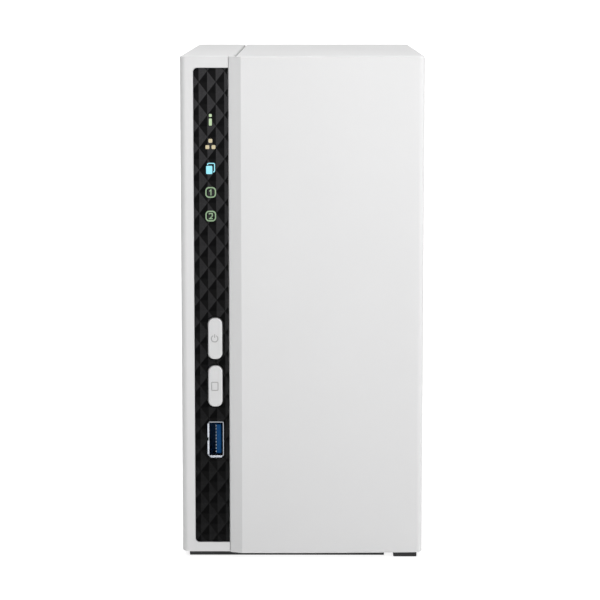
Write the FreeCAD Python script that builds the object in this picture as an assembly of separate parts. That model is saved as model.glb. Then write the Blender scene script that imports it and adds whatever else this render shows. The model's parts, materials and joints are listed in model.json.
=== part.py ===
import FreeCAD, Part
import math
import os

# Two-bay desktop network storage unit, in millimetres.
# The unit stands on its feet at z = 0, its front faces -Y and +X is its right side.

Vector = FreeCAD.Vector

# Case
CASE_WIDTH = 90.18
CASE_DEPTH = 156.26
CASE_HEIGHT = 188.64
FOOT_HEIGHT = 2.5
WALL = 2.2
RUN_GAP = 0.3
FIT_GAP = 0.05

LEFT = -CASE_WIDTH / 2
RIGHT = CASE_WIDTH / 2
FRONT = -CASE_DEPTH / 2
REAR = CASE_DEPTH / 2
TOP = CASE_HEIGHT
FLOOR_Z = FOOT_HEIGHT + WALL
CEILING_Z = TOP - WALL

# Left shell: bezel, seam towards the cover, and base plate
BEZEL_Y = FRONT + 1.83
BEZEL_THICK = 3.0
BEZEL_BACK = BEZEL_Y + BEZEL_THICK
SHELL_EDGE_ROUND = 2.2
SHELL_TOP_ROUND = 0.7
SEAM_X = -24.85
SEAM_CHAMFER = 0.45
BASE_EDGE_X = 31.0
BASE_FRONT_Y = -73.6
LEDGE_EDGE_X = -19.5
LEDGE_Z = 184.9

# Cover: raised front panel, chamfered lip and hooks
LIP_EDGE_X = -27.05
LIP_EDGE_Y = -76.2
LIP_BACK_Y = -75.85
CHAMFER_END_X = -22.6
CROWN_X = -13.5
CROWN_RADIUS = 1073.0
COVER_EDGE_ROUND = 2.2
COVER_TOP_ROUND = 0.6
COVER_CHAMFER = 0.4
COVER_BOTTOM_Z = 2.27

# Patterned strip on the bezel
STRIP_LEFT = -40.2
STRIP_RIGHT = -27.35
STRIP_BOTTOM = 6.2
STRIP_TOP = 184.35
STRIP_CORNER = 1.5
STRIP_BACK_Y = -74.9
STRIP_BASE_Y = -75.75
STRIP_RELIEF = 0.45
STRIP_FLAT_Y = STRIP_BASE_Y + 0.05
DIAMOND_HALF_WIDTH = 3.13
DIAMOND_HALF_HEIGHT = 4.05
DIAMOND_X = -38.17
DIAMOND_Z = 179.13

# Indicator symbols
ICON_X = -33.93
ICON_FRONT_Y = -76.02
ICON_GUIDE_HALF = 2.7
ICON_GUIDE_BACK_Y = -71.4
STATUS_Z = 165.1
NETWORK_Z = 156.0
COPY_LIGHT_Z = 147.25
DRIVE_ONE_Z = 138.4
DRIVE_TWO_Z = 129.6
RING_WIDTH = 3.91
RING_HEIGHT = 3.95
RING_CORNER = 1.4
RING_STROKE = 0.42
DIGIT_STROKE = 0.36
DIGIT_TWO_HALF = 0.72
DIGIT_HALF_HEIGHT = 1.15
ICON_CENTRES = (STATUS_Z, NETWORK_Z, COPY_LIGHT_Z, DRIVE_ONE_Z, DRIVE_TWO_Z)

# Front buttons
BUTTON_X = -32.49
BUTTON_WIDTH = 5.23
BUTTON_HEIGHT = 15.4
BUTTON_CORNER = 2.2
BUTTON_FRONT_Y = -76.95
BUTTON_BACK_Y = -73.6
BUTTON_FLANGE = 1.7
BUTTON_TRAVEL = 0.8
PLUNGER_END_Y = -68.0
SYMBOL_DEPTH = 0.14
SYMBOL_X = -32.7
POWER_BUTTON_Z = 83.8
COPY_BUTTON_Z = 65.82

# Type A sockets: metal shell, tongue and mouth
USB_HEIGHT = 13.1
USB_WIDTH = 5.73
USB_SKIN = 0.3
USB_LENGTH = 15.5
USB_X = -32.355
TONGUE_LEFT = USB_X + 0.085
TONGUE_RIGHT = TONGUE_LEFT + 1.84
TONGUE_HALF_HEIGHT = 5.55
CONTACT_SPAN = 11.0
CONTACT_HALF = 0.28
FRONT_USB_Z = 45.59
FRONT_USB_MOUTH_Y = -75.95
USB_TURN_OUT = 0.32
USB_TURN_DEPTH = 0.35
USB_RECESS = 0.45
USB_TAB_REACH = 5.8
USB_SLIT_HALF = 0.65
USB_LIP_HALF = 2.15
USB_LIP_DROP = 0.45
REAR_USB_Z = (88.0, 108.0)

# Main board, upright behind the left wall
BOARD_FACE_X = -35.6
BOARD_THICK = 1.6
BOARD_BACK_X = BOARD_FACE_X - BOARD_THICK
BOARD_FRONT_Y = -70.0
BOARD_REAR_Y = 70.0
BOARD_BOTTOM_Z = 8.0
BOARD_TOP_Z = 178.0
BOARD_SCREWS = ((-62.0, 18.0), (60.0, 18.0), (-62.0, 173.0), (60.0, 173.0), (-12.0, 152.0))
SOC_Y = 6.0
SOC_Z = 118.0
CELL_Y = -44.0
CELL_Z = 104.0

# Rear panel
PANEL_Y = 73.63
PANEL_THICK = 1.0
PANEL_BACK_Y = PANEL_Y - PANEL_THICK
PANEL_LEFT = LEFT + WALL + RUN_GAP
PANEL_RIGHT = RIGHT - WALL - RUN_GAP
PANEL_BOTTOM = FLOOR_Z + RUN_GAP
PANEL_TOP = CEILING_Z - RUN_GAP
PANEL_SCREWS = ((-40.3, 11.0), (-40.3, 180.0))
PANEL_FLANGE_SCREWS_X = (-14.0, 22.0)
PANEL_FLANGE_Z = FLOOR_Z + 1.2

# Ports on the rear panel
JACK_Z = 60.0
JACK_WIDTH = 16.0
JACK_TOP_X = -22.4
JACK_LENGTH = 21.0
DC_Z = 30.0
DC_X = -30.1
DC_BORE = 3.2
DC_PIN = 1.05
RESET_X = -32.0
RESET_Z = 128.0
LOCK_X = -32.0
LOCK_Z = 156.0

# Fan
FAN_X = 10.0
FAN_Z = 102.0
FAN_SIZE = 60.0
FAN_DEPTH = 20.0
FAN_REAR_Y = PANEL_BACK_Y - 0.1
FAN_FRONT_Y = FAN_REAR_Y - FAN_DEPTH
FAN_BORE = 28.6
FAN_HUB = 15.5
FAN_TIP = 27.9
FAN_BLADES = 7
FAN_SHAFT = 1.5
FAN_HOLE_PITCH = 50.0

# Fan lead and its plug on the main board
LEAD_RADIUS = 1.0
LEAD_BEND = 7.0
LEAD_START = Vector(-20.1, 60.2, 78.0)
PLUG_X = -32.5
PLUG_TOP_Y = 50.0

# Drives, standing upright on their connectors
DRIVE_THICK = 26.1
DRIVE_WIDTH = 101.6
DRIVE_LENGTH = 147.0
DRIVE_X = (-5.0, 25.0)
DRIVE_FRONT_Y = -62.8
DRIVE_BOTTOM_Z = 19.5
DRIVE_TOP_Z = DRIVE_BOTTOM_Z + DRIVE_LENGTH
DRIVE_REAR_Y = DRIVE_FRONT_Y + DRIVE_WIDTH
DRIVE_SCREW_Z = (48.0, 89.6)
TRAY_THICK = 1.8
TRAY_TOP_Z = 178.5

# Cage round the two drives
CAGE_LEFT = -21.0
CAGE_RIGHT = 41.0
CAGE_FRONT_Y = -66.5
CAGE_REAR_Y = 42.5
CAGE_SHEET = 1.0
CAGE_TOP_Z = 160.0
CAGE_WALL_Z = 13.5
CAGE_WINDOW = 18.0
CAGE_FLANGE = 7.0
CAGE_FOOT_END_X = 26.0
BACKPLANE_Z = 10.0
BACKPLANE_THICK = 1.6
CAGE_FEET = ((-14.0, CAGE_FRONT_Y - 4.0), (18.0, CAGE_FRONT_Y - 4.0),
             (-14.0, CAGE_REAR_Y + 4.0), (18.0, CAGE_REAR_Y + 4.0))
BACKPLANE_POSTS = ((-17.0, -57.0), (-17.0, 33.0), (25.0, -57.0), (25.0, 33.0))

# Captive thumbscrew that holds the cover
THUMB_X = 37.5
THUMB_Z = 182.4
THUMB_SHANK = 1.5
THUMB_HEAD = 3.3


def box(x0, x1, y0, y1, z0, z1):
    return Part.makeBox(x1 - x0, y1 - y0, z1 - z0, Vector(x0, y0, z0))


def box_along(y_a, y_b, x0, x1, z0, z1):
    """Box between two places along Y, given in either order."""
    return box(x0, x1, min(y_a, y_b), max(y_a, y_b), z0, z1)


def rod_x(radius, x0, x1, y, z):
    return Part.makeCylinder(radius, x1 - x0, Vector(x0, y, z), Vector(1, 0, 0))


def rod_y(radius, x, y0, y1, z):
    return Part.makeCylinder(radius, y1 - y0, Vector(x, y0, z), Vector(0, 1, 0))


def rod_z(radius, x, y, z0, z1):
    return Part.makeCylinder(radius, z1 - z0, Vector(x, y, z0), Vector(0, 0, 1))


def prism(points, direction):
    return Part.Face(Part.makePolygon(points + [points[0]])).extrude(direction)


def join(shapes):
    result = shapes[0].multiFuse(shapes[1:])
    return result.removeSplitter()


def group(solids):
    return Part.makeCompound(solids)


def edges_at(shape, x=None, y=None, z=None):
    """Edges that lie wholly at the given coordinates."""
    found = []
    for edge in shape.Edges:
        points = edge.discretize(5)
        inside = True
        for point in points:
            for wanted, actual in ((x, point.x), (y, point.y), (z, point.z)):
                if wanted is not None and abs(wanted - actual) > 0.02:
                    inside = False
        if inside:
            found.append(edge)
    return found


def plate_y(x, z, width, height, corner, y0, y1):
    """Rounded rectangular plate facing along Y, centred at x and z."""
    plate = box(x - width / 2, x + width / 2, y0, y1, z - height / 2, z + height / 2)
    if corner <= 0:
        return plate
    corners = []
    for side_x in (x - width / 2, x + width / 2):
        for side_z in (z - height / 2, z + height / 2):
            corners += edges_at(plate, x=side_x, z=side_z)
    return plate.makeFillet(corner, corners)


def frame_y(x, z, width, height, corner, stroke, y0, y1):
    """Rounded rectangular ring facing along Y."""
    outer = plate_y(x, z, width, height, corner, y0, y1)
    hole_corner = max(corner - stroke, 0)
    hole = plate_y(x, z, width - 2 * stroke, height - 2 * stroke, hole_corner, y0 - 1, y1 + 1)
    return outer.cut(hole)


def screw_x(x_seat, y, z, radius, length, head_radius):
    """Pan-head screw driven towards -X, with a cross recess in its head."""
    head_height = 1.7
    shank = rod_x(radius, x_seat - length, x_seat + 0.1, y, z)
    head = rod_x(head_radius, x_seat, x_seat + head_height, y, z)
    head = head.makeFillet(0.6, edges_at(head, x=x_seat + head_height)[:1])
    screw = join([shank, head])
    return cut_cross(screw, Vector(x_seat + head_height, y, z), "x", head_radius)


def screw_y(x, y_seat, z, radius, length, head_radius):
    """Pan-head screw driven towards -Y, with a cross recess in its head."""
    head_height = 1.7
    shank = rod_y(radius, x, y_seat - length, y_seat + 0.1, z)
    head = rod_y(head_radius, x, y_seat, y_seat + head_height, z)
    head = head.makeFillet(0.6, edges_at(head, y=y_seat + head_height)[:1])
    screw = join([shank, head])
    return cut_cross(screw, Vector(x, y_seat + head_height, z), "y", head_radius)


def screw_z(x, y, z_seat, radius, length, head_radius):
    """Pan-head screw driven towards -Z, with a cross recess in its head."""
    head_height = 1.6
    shank = rod_z(radius, x, y, z_seat - length, z_seat + 0.1)
    head = rod_z(head_radius, x, y, z_seat, z_seat + head_height)
    head = head.makeFillet(0.5, edges_at(head, z=z_seat + head_height)[:1])
    screw = join([shank, head])
    return cut_cross(screw, Vector(x, y, z_seat + head_height), "z", head_radius)


def cut_cross(screw, tip, axis, head_radius):
    """Cut a cross recess into the head whose outer face is at tip."""
    reach = head_radius * 0.55
    half = 0.25
    depth = 0.8
    if axis == "x":
        first = box(tip.x - depth, tip.x + 1, tip.y - reach, tip.y + reach, tip.z - half, tip.z + half)
        second = box(tip.x - depth, tip.x + 1, tip.y - half, tip.y + half, tip.z - reach, tip.z + reach)
    elif axis == "y":
        first = box(tip.x - reach, tip.x + reach, tip.y - depth, tip.y + 1, tip.z - half, tip.z + half)
        second = box(tip.x - half, tip.x + half, tip.y - depth, tip.y + 1, tip.z - reach, tip.z + reach)
    else:
        first = box(tip.x - reach, tip.x + reach, tip.y - half, tip.y + half, tip.z - depth, tip.z + 1)
        second = box(tip.x - half, tip.x + half, tip.y - reach, tip.y + reach, tip.z - depth, tip.z + 1)
    return screw.cut(first.fuse(second))


# ---------------------------------------------------------------- left shell

def shell_body():
    """Side moulding with its rounded outer edges, hollowed from the right."""
    body = box(LEFT, SEAM_X, BEZEL_Y, REAR, FOOT_HEIGHT, TOP)
    body = body.makeFillet(SHELL_EDGE_ROUND, edges_at(body, x=LEFT, y=BEZEL_Y))
    rim = []
    for edge in edges_at(body, z=TOP):
        if abs(edge.CenterOfMass.x - SEAM_X) > 0.1 and abs(edge.CenterOfMass.y - REAR) > 0.1:
            rim.append(edge)
    for edge in edges_at(body, z=FOOT_HEIGHT):
        if abs(edge.CenterOfMass.x - SEAM_X) > 0.1 and abs(edge.CenterOfMass.y - REAR) > 0.1:
            rim.append(edge)
    body = body.makeFillet(SHELL_TOP_ROUND, rim)
    hollow = box(LEFT + WALL, SEAM_X + 1, BEZEL_BACK, REAR + 1, FLOOR_Z, CEILING_Z)
    return body.cut(hollow)


def seam_cut():
    """Chamfer along the shell's top seam edge, with the step for the cover's lip."""
    depth = SEAM_CHAMFER
    corner = [Vector(SEAM_X - depth, FRONT - 1, TOP + 0.001),
              Vector(SEAM_X + 0.001, FRONT - 1, TOP + 0.001),
              Vector(SEAM_X + 0.001, FRONT - 1, TOP - depth)]
    chamfer = prism(corner, Vector(0, CASE_DEPTH + 2, 0))
    step = box(STRIP_RIGHT, SEAM_X + 1, BEZEL_Y - 1, LIP_BACK_Y + RUN_GAP, 0, TOP + 1)
    return chamfer.fuse(step)


def strip_outline(y0, y1, grow):
    """Outline of the patterned strip: rounded on the left, square on the right."""
    left = STRIP_LEFT - grow
    bottom = STRIP_BOTTOM - grow
    top = STRIP_TOP + grow
    plate = box(left, STRIP_RIGHT + grow, y0, y1, bottom, top)
    corners = edges_at(plate, x=left, z=bottom) + edges_at(plate, x=left, z=top)
    return plate.makeFillet(STRIP_CORNER, corners)


def button_hole(z, y0, y1):
    width = BUTTON_WIDTH + 2 * RUN_GAP
    height = BUTTON_HEIGHT + 2 * RUN_GAP
    return plate_y(BUTTON_X, z, width, height, BUTTON_CORNER + RUN_GAP, y0, y1)


def usb_hole(y0, y1):
    """Opening for the front socket and for the lips turned out below it and on its left."""
    opening = plate_y(USB_X, FRONT_USB_Z, USB_WIDTH + 0.3, USB_HEIGHT + 0.3, 0.4, y0, y1)
    lip = plate_y(USB_X, FRONT_USB_Z - USB_HEIGHT / 2 - 0.3, 4.7, 1.4, 0.2, y0, y1)
    left = USB_X - USB_WIDTH / 2
    tabs = box(left - USB_TURN_OUT - 0.3, left + 0.1, y0, y1,
               FRONT_USB_Z - USB_TAB_REACH - 0.3, FRONT_USB_Z + USB_TAB_REACH + 0.3)
    return opening.fuse([lip, tabs])


def bezel_openings():
    """Everything cut through the bezel: strip recess, light windows, buttons and socket."""
    y0 = BEZEL_Y - 1
    y1 = BEZEL_BACK + 1
    cuts = [strip_outline(y0, STRIP_BACK_Y, FIT_GAP)]
    half = ICON_GUIDE_HALF + 0.15
    for z in ICON_CENTRES:
        cuts.append(box(ICON_X - half, ICON_X + half, y0, y1, z - half, z + half))
    cuts.append(button_hole(POWER_BUTTON_Z, y0, y1))
    cuts.append(button_hole(COPY_BUTTON_Z, y0, y1))
    cuts.append(usb_hole(y0, y1))
    return cuts


def board_bosses():
    """Screw bosses from the left wall to the back of the main board."""
    bosses = []
    for y, z in BOARD_SCREWS:
        boss = rod_x(3.2, LEFT + WALL - 0.5, BOARD_BACK_X, y, z)
        bosses.append(boss)
    return bosses


def panel_posts():
    """Corner posts that take the rear panel's screws."""
    posts = []
    for x, z in PANEL_SCREWS:
        post = box(LEFT + WALL - 0.5, x + 2.4, PANEL_BACK_Y - 12, PANEL_BACK_Y, z - 3.5, z + 3.5)
        posts.append(post)
    return posts


def base_vents():
    """Rows of air slots through the base plate."""
    slots = []
    for column in range(9):
        x = -16.0 + 5.2 * column
        for y0 in (-54.0, -22.0, 10.0):
            slots.append(box(x, x + 2.6, y0, y0 + 24.0, FOOT_HEIGHT - 1, FLOOR_Z + 1))
    return slots


def base_plate():
    """Floor of the unit, reaching from the left shell under both drives."""
    plate = box(SEAM_X - 5, BASE_EDGE_X, BASE_FRONT_Y, REAR, FOOT_HEIGHT, FLOOR_Z)
    plate = plate.makeFillet(0.8, edges_at(plate, x=BASE_EDGE_X, y=BASE_FRONT_Y))
    plate = plate.cut(group(base_vents()))
    bosses = [rod_z(3.0, x, y, FLOOR_Z - 0.5, BACKPLANE_Z) for x, y in BACKPLANE_POSTS]
    return join([plate] + bosses)


def shell_ledge():
    """Rail below the cover's roof that its hook runs along."""
    return box(SEAM_X - 2, LEDGE_EDGE_X, BEZEL_BACK - 0.5, PANEL_BACK_Y - 0.4, LEDGE_Z, CEILING_Z - RUN_GAP)


def shell_screw_holes():
    """Pilot holes for every screw that goes into the left shell."""
    holes = []
    for y, z in BOARD_SCREWS:
        holes.append(rod_x(1.25, LEFT + WALL + 0.4, BOARD_BACK_X + 1, y, z))
    for x, z in PANEL_SCREWS:
        holes.append(rod_y(1.25, x, PANEL_BACK_Y - 8, PANEL_BACK_Y + 1, z))
    for x, y in CAGE_FEET:
        holes.append(rod_z(1.25, x, y, FOOT_HEIGHT + 0.4, FLOOR_Z + 1))
    for x, y in BACKPLANE_POSTS:
        holes.append(rod_z(1.25, x, y, FLOOR_Z, BACKPLANE_Z + 1))
    for x in PANEL_FLANGE_SCREWS_X:
        holes.append(rod_z(1.25, x, PANEL_BACK_Y - 6, FOOT_HEIGHT + 0.4, FLOOR_Z + 1))
    return holes


def left_shell():
    shell = shell_body()
    shell = shell.cut(seam_cut())
    shell = join([shell, base_plate(), shell_ledge()] + board_bosses() + panel_posts())
    shell = shell.cut(group(bezel_openings()))
    return shell.cut(group(shell_screw_holes()))


# ------------------------------------------------------------ patterned strip

def ridges(slope):
    """Block whose front face is a row of V ridges running along one diagonal."""
    width = DIAMOND_HALF_WIDTH
    height = DIAMOND_HALF_HEIGHT
    diagonal = math.hypot(width, height)
    along = Vector(width / diagonal, 0, slope * height / diagonal)
    across = Vector(-along.z, 0, along.x)
    pitch = 2 * width * height / diagonal
    count = 42
    centre = Vector(DIAMOND_X, 0, DIAMOND_Z - 2 * height * 11)
    reach = 130.0
    start = centre - along * reach
    points = [start + across * (-count / 2 * pitch) + Vector(0, STRIP_BACK_Y, 0)]
    for index in range(count):
        side = (index - count / 2) * pitch
        valley = start + across * side + Vector(0, STRIP_BASE_Y, 0)
        crest = start + across * (side + pitch / 2) + Vector(0, STRIP_BASE_Y - STRIP_RELIEF, 0)
        points.append(valley)
        points.append(crest)
    points.append(start + across * (count / 2 * pitch) + Vector(0, STRIP_BASE_Y, 0))
    points.append(start + across * (count / 2 * pitch) + Vector(0, STRIP_BACK_Y, 0))
    return prism(points, along * (2 * reach))


def front_strip():
    outline = strip_outline(BEZEL_Y - 1, STRIP_BACK_Y, -FIT_GAP)
    near = 1.2
    for z in (POWER_BUTTON_Z, COPY_BUTTON_Z):
        outline = outline.cut(plate_y(BUTTON_X, z, BUTTON_WIDTH + near, BUTTON_HEIGHT + near,
                                      BUTTON_CORNER + near / 2, BEZEL_Y - 2, STRIP_FLAT_Y))
    strip = outline.common(ridges(1)).common(ridges(-1))
    y0 = BEZEL_Y - 2
    y1 = STRIP_BACK_Y + 1
    cuts = [button_hole(POWER_BUTTON_Z, y0, y1), button_hole(COPY_BUTTON_Z, y0, y1), usb_hole(y0, y1)]
    for icon in (status_symbol, network_symbol, copy_symbol, drive_one_symbol, drive_two_symbol):
        cuts += icon(y0, y1, 0.02)
    return strip.cut(group(cuts))


# ----------------------------------------------------------------- indicators

def status_symbol(y0, y1, grow):
    dot = plate_y(ICON_X, 166.83, 1.05 + 2 * grow, 1.05 + 2 * grow, 0.3, y0, y1)
    bar = plate_y(ICON_X, 164.4, 1.05 + 2 * grow, 2.56 + 2 * grow, 0.25, y0, y1)
    return [dot, bar]


def network_symbol(y0, y1, grow):
    size = 1.4 + 2 * grow
    places = ((-33.94, 157.48), (-35.06, 155.18), (-32.81, 155.18))
    return [plate_y(x, z, size, size, 0.35, y0, y1) for x, z in places]


def copy_symbol(y0, y1, grow):
    page = plate_y(-34.43, 146.73, 2.25 + 2 * grow, 3.01 + 2 * grow, 0.35, y0, y1)
    sheet = frame_y(-33.73, 147.58, 2.87 + 2 * grow, 3.48 + 2 * grow, 0.6, 0.32 + 2 * grow, y0, y1)
    margin = plate_y(-34.43, 146.73, 2.85 - 2 * grow, 3.61 - 2 * grow, 0.4, y0 - 1, y1 + 1)
    sheet = sheet.cut(margin)
    return [page] + sheet.Solids


def digit_one(z, y0, y1, grow):
    stroke = DIGIT_STROKE + 2 * grow
    stem = box(ICON_X + 0.1 - stroke / 2, ICON_X + 0.1 + stroke / 2, y0, y1, z - 1.1 - grow, z + 1.1 + grow)
    flag = [Vector(ICON_X + 0.1, y0, z + 1.1 + grow), Vector(ICON_X - 0.5, y0, z + 0.66),
            Vector(ICON_X - 0.5, y0, z + 0.3 - grow), Vector(ICON_X + 0.1, y0, z + 0.55 - grow)]
    return join([stem, prism(flag, Vector(0, y1 - y0, 0))])


def digit_two(z, y0, y1, grow):
    """Numeral two drawn as a top bar, a short right stem, a slanting stroke and a foot."""
    stroke = DIGIT_STROKE + 2 * grow
    left = ICON_X - DIGIT_TWO_HALF - grow
    right = ICON_X + DIGIT_TWO_HALF + grow
    low = z - DIGIT_HALF_HEIGHT - grow
    high = z + DIGIT_HALF_HEIGHT + grow
    knee = z + 0.1
    slant = [Vector(right, y0, knee + stroke / 2), Vector(right, y0, knee - stroke / 2),
             Vector(left + stroke, y0, low), Vector(left, y0, low), Vector(left, y0, low + stroke / 2)]
    parts = [box(left, right, y0, y1, high - stroke, high),
             box(left, left + stroke, y0, y1, high - 1.4 * stroke, high),
             box(right - stroke, right, y0, y1, knee - stroke / 4, high),
             prism(slant, Vector(0, y1 - y0, 0)),
             box(left, right, y0, y1, low, low + stroke)]
    return join(parts)


def number_ring(z, y0, y1, grow):
    return frame_y(ICON_X, z, RING_WIDTH + 2 * grow, RING_HEIGHT + 2 * grow, RING_CORNER,
                   RING_STROKE + 2 * grow, y0, y1)


def drive_one_symbol(y0, y1, grow):
    return [number_ring(DRIVE_ONE_Z, y0, y1, grow), digit_one(DRIVE_ONE_Z, y0, y1, grow)]


def drive_two_symbol(y0, y1, grow):
    return [number_ring(DRIVE_TWO_Z, y0, y1, grow), digit_two(DRIVE_TWO_Z, y0, y1, grow)]


def light_pipe(symbol, z):
    """Symbol faces in the strip, joined behind it by a clear block facing the lamp."""
    half = ICON_GUIDE_HALF
    block = box(ICON_X - half, ICON_X + half, STRIP_BACK_Y, ICON_GUIDE_BACK_Y, z - half, z + half)
    faces = symbol(ICON_FRONT_Y, STRIP_BACK_Y + 0.2, 0)
    return join([block] + faces)


def front_lamps():
    """Side-facing lamps on the main board, one behind each light pipe."""
    lamps = []
    for z in ICON_CENTRES:
        x = BOARD_FACE_X
        y = BOARD_FRONT_Y
        body = box(x, x + 1.2, y + 0.6, y + 2.4, z - 1.6, z + 1.6)
        lens = box(x + 0.2, x + 1.0, y + 0.3, y + 0.7, z - 1.0, z + 1.0)
        lamps.append(join([body, lens]))
    return group(lamps)


# -------------------------------------------------------------------- buttons

def button(z, symbol_cut):
    """Push button: rounded cap, retaining flange and plunger, with an engraved symbol."""
    cap_back = BUTTON_BACK_Y + 0.7
    cap = plate_y(BUTTON_X, z, BUTTON_WIDTH, BUTTON_HEIGHT, BUTTON_CORNER, BUTTON_FRONT_Y, cap_back)
    cap = cap.makeFillet(0.55, edges_at(cap, y=BUTTON_FRONT_Y))
    flange_front = BEZEL_BACK + RUN_GAP
    flange = plate_y(BUTTON_X, z, BUTTON_WIDTH + BUTTON_FLANGE, BUTTON_HEIGHT + BUTTON_FLANGE, 2.4,
                     flange_front, flange_front + 1.0)
    plunger = box(BUTTON_X - 1.5, BUTTON_X + 1.5, flange_front + 0.5, PLUNGER_END_Y, z - 1.5, z + 1.5)
    neck = box(BUTTON_X - 2.0, BUTTON_X + 2.0, BUTTON_BACK_Y, flange_front + 0.5, z - 5, z + 5)
    solid = join([cap, flange, neck, plunger])
    return solid.cut(symbol_cut)


def power_symbol(z):
    """Broken ring with a bar at its top, engraved into the cap."""
    y0 = BUTTON_FRONT_Y - 1
    y1 = BUTTON_FRONT_Y + SYMBOL_DEPTH
    ring = rod_y(1.4, SYMBOL_X, y0, y1, z).cut(rod_y(1.05, SYMBOL_X, y0 - 1, y1 + 1, z))
    ring = ring.cut(box(SYMBOL_X - 0.5, SYMBOL_X + 0.5, y0 - 1, y1 + 1, z, z + 2))
    bar = box(SYMBOL_X - 0.18, SYMBOL_X + 0.18, y0, y1, z + 0.3, z + 1.7)
    return group([ring, bar])


def square_symbol(z):
    return frame_y(SYMBOL_X, z, 2.75, 3.4, 0.5, 0.35, BUTTON_FRONT_Y - 1, BUTTON_FRONT_Y + SYMBOL_DEPTH)


def tact_switches():
    """Edge switches on the main board behind the two front buttons."""
    switches = []
    tip_y = PLUNGER_END_Y + BUTTON_TRAVEL + 0.2
    for z in (POWER_BUTTON_Z, COPY_BUTTON_Z):
        body = box(BOARD_FACE_X, BUTTON_X + 3.0, -65.0, -60.5, z - 3.6, z + 3.6)
        frame = box(BOARD_FACE_X, BUTTON_X + 3.2, -65.3, -64.6, z - 3.8, z + 3.8)
        stem = rod_y(1.4, BUTTON_X, tip_y, -65.0 + 0.2, z)
        switches.append(join([body, frame, stem]))
    return group(switches)


# --------------------------------------------------------------- USB sockets

def usb_shell(z, mouth_y, inward):
    """Folded metal shell of a type A socket; inward is +1 when the socket runs towards +Y."""
    y0 = min(mouth_y, mouth_y + inward * USB_LENGTH)
    y1 = max(mouth_y, mouth_y + inward * USB_LENGTH)
    outer = plate_y(USB_X, z, USB_WIDTH, USB_HEIGHT, 0.5, y0, y1)
    inner_end = mouth_y + inward * (USB_LENGTH - USB_SKIN)
    hollow = plate_y(USB_X, z, USB_WIDTH - 2 * USB_SKIN, USB_HEIGHT - 2 * USB_SKIN, 0.25,
                     min(mouth_y - inward, inner_end), max(mouth_y - inward, inner_end))
    shell = outer.cut(hollow)
    side_x = USB_X + USB_WIDTH / 2
    near = mouth_y + inward * 3.0
    far = mouth_y + inward * 8.0
    for offset in (-3.1, 3.1):
        middle = z + offset
        window = box_along(near, far, side_x - 0.8, side_x + 1, middle - 1.1, middle + 1.1)
        tab_tip = near + inward * 0.4
        tab = box_along(tab_tip, far + inward, side_x - 0.8, side_x + 1, middle - 0.8, middle + 0.8)
        shell = shell.cut(window.cut(tab))
    return shell


def front_usb_shell():
    """Front socket shell: left and bottom edges turned out, right and top edges set back."""
    y = FRONT_USB_MOUTH_Y
    left = USB_X - USB_WIDTH / 2
    low = FRONT_USB_Z - USB_HEIGHT / 2
    reach = USB_TAB_REACH
    bend = y + USB_TURN_DEPTH
    left_edge = box(left - 1, left + USB_SKIN, y - 1, bend, FRONT_USB_Z - reach, FRONT_USB_Z + reach)
    low_edge = box(USB_X - USB_LIP_HALF, USB_X + USB_LIP_HALF, y - 1, bend, low - 1, low + USB_SKIN)
    right = left + USB_WIDTH
    high = low + USB_HEIGHT
    recess = y + USB_RECESS
    right_edge = box(right - USB_SKIN, right + 1, y - 1, recess, low - 1, high + 1)
    high_edge = box(left - 1, right + 1, y - 1, recess, high - USB_SKIN, high + 1)
    shell = usb_shell(FRONT_USB_Z, y, 1).cut(group([left_edge, low_edge, right_edge, high_edge]))
    return join([shell, bottom_lip()] + left_tabs())


def bottom_lip():
    """Lip turned down and out along the bottom of the mouth."""
    y = FRONT_USB_MOUTH_Y
    low = FRONT_USB_Z - USB_HEIGHT / 2
    x = USB_X - USB_LIP_HALF
    lip = [Vector(x, y + USB_TURN_DEPTH, low + USB_SKIN), Vector(x, y, low - USB_LIP_DROP),
           Vector(x, y + USB_SKIN, low - USB_LIP_DROP), Vector(x, y + USB_TURN_DEPTH + 0.2, low)]
    return prism(lip, Vector(2 * USB_LIP_HALF, 0, 0))


def left_tabs():
    """Two lips turned out along the mouth's left edge, with a slit between them."""
    y = FRONT_USB_MOUTH_Y
    left = USB_X - USB_WIDTH / 2
    tip = left - USB_TURN_OUT
    tabs = []
    for start, end in ((-USB_TAB_REACH, -USB_SLIT_HALF), (USB_SLIT_HALF, USB_TAB_REACH)):
        z = FRONT_USB_Z + start
        lip = [Vector(left + USB_SKIN, y + USB_TURN_DEPTH, z), Vector(tip, y, z),
               Vector(tip, y + USB_SKIN, z), Vector(left, y + USB_TURN_DEPTH + 0.2, z)]
        tabs.append(prism(lip, Vector(0, 0, end - start)))
    return tabs


def usb_insert(z, mouth_y, inward):
    """Plastic block at the back of a socket with the contact tongue."""
    back = mouth_y + inward * (USB_LENGTH - USB_SKIN)
    block_front = mouth_y + inward * 10.5
    tip = mouth_y + inward * 0.6
    play = 2 * (USB_SKIN + FIT_GAP)
    y0 = min(block_front, back)
    y1 = max(block_front, back)
    block = plate_y(USB_X, z, USB_WIDTH - play, USB_HEIGHT - play, 0.3, y0, y1)
    tongue = box_along(tip, block_front + inward, TONGUE_LEFT, TONGUE_RIGHT,
                       z - TONGUE_HALF_HEIGHT, z + TONGUE_HALF_HEIGHT)
    tongue = tongue.makeChamfer(0.35, edges_at(tongue, y=tip))
    return join([block, tongue])


def usb_contacts(z, mouth_y, inward, count):
    """Contact strips lying on the tongue's left face."""
    strips = []
    pitch = CONTACT_SPAN / count
    for index in range(count):
        place = z + (index - (count - 1) / 2) * pitch
        tip = mouth_y + inward * 1.3
        end = mouth_y + inward * 10.4
        strips.append(box_along(tip, end, TONGUE_LEFT - 0.2, TONGUE_LEFT, place - CONTACT_HALF, place + CONTACT_HALF))
    return strips


def rear_usb_shells():
    return group([usb_shell(z, PANEL_Y - 0.2, -1) for z in REAR_USB_Z])


def rear_usb_inserts():
    return group([usb_insert(z, PANEL_Y - 0.2, -1) for z in REAR_USB_Z])


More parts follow.
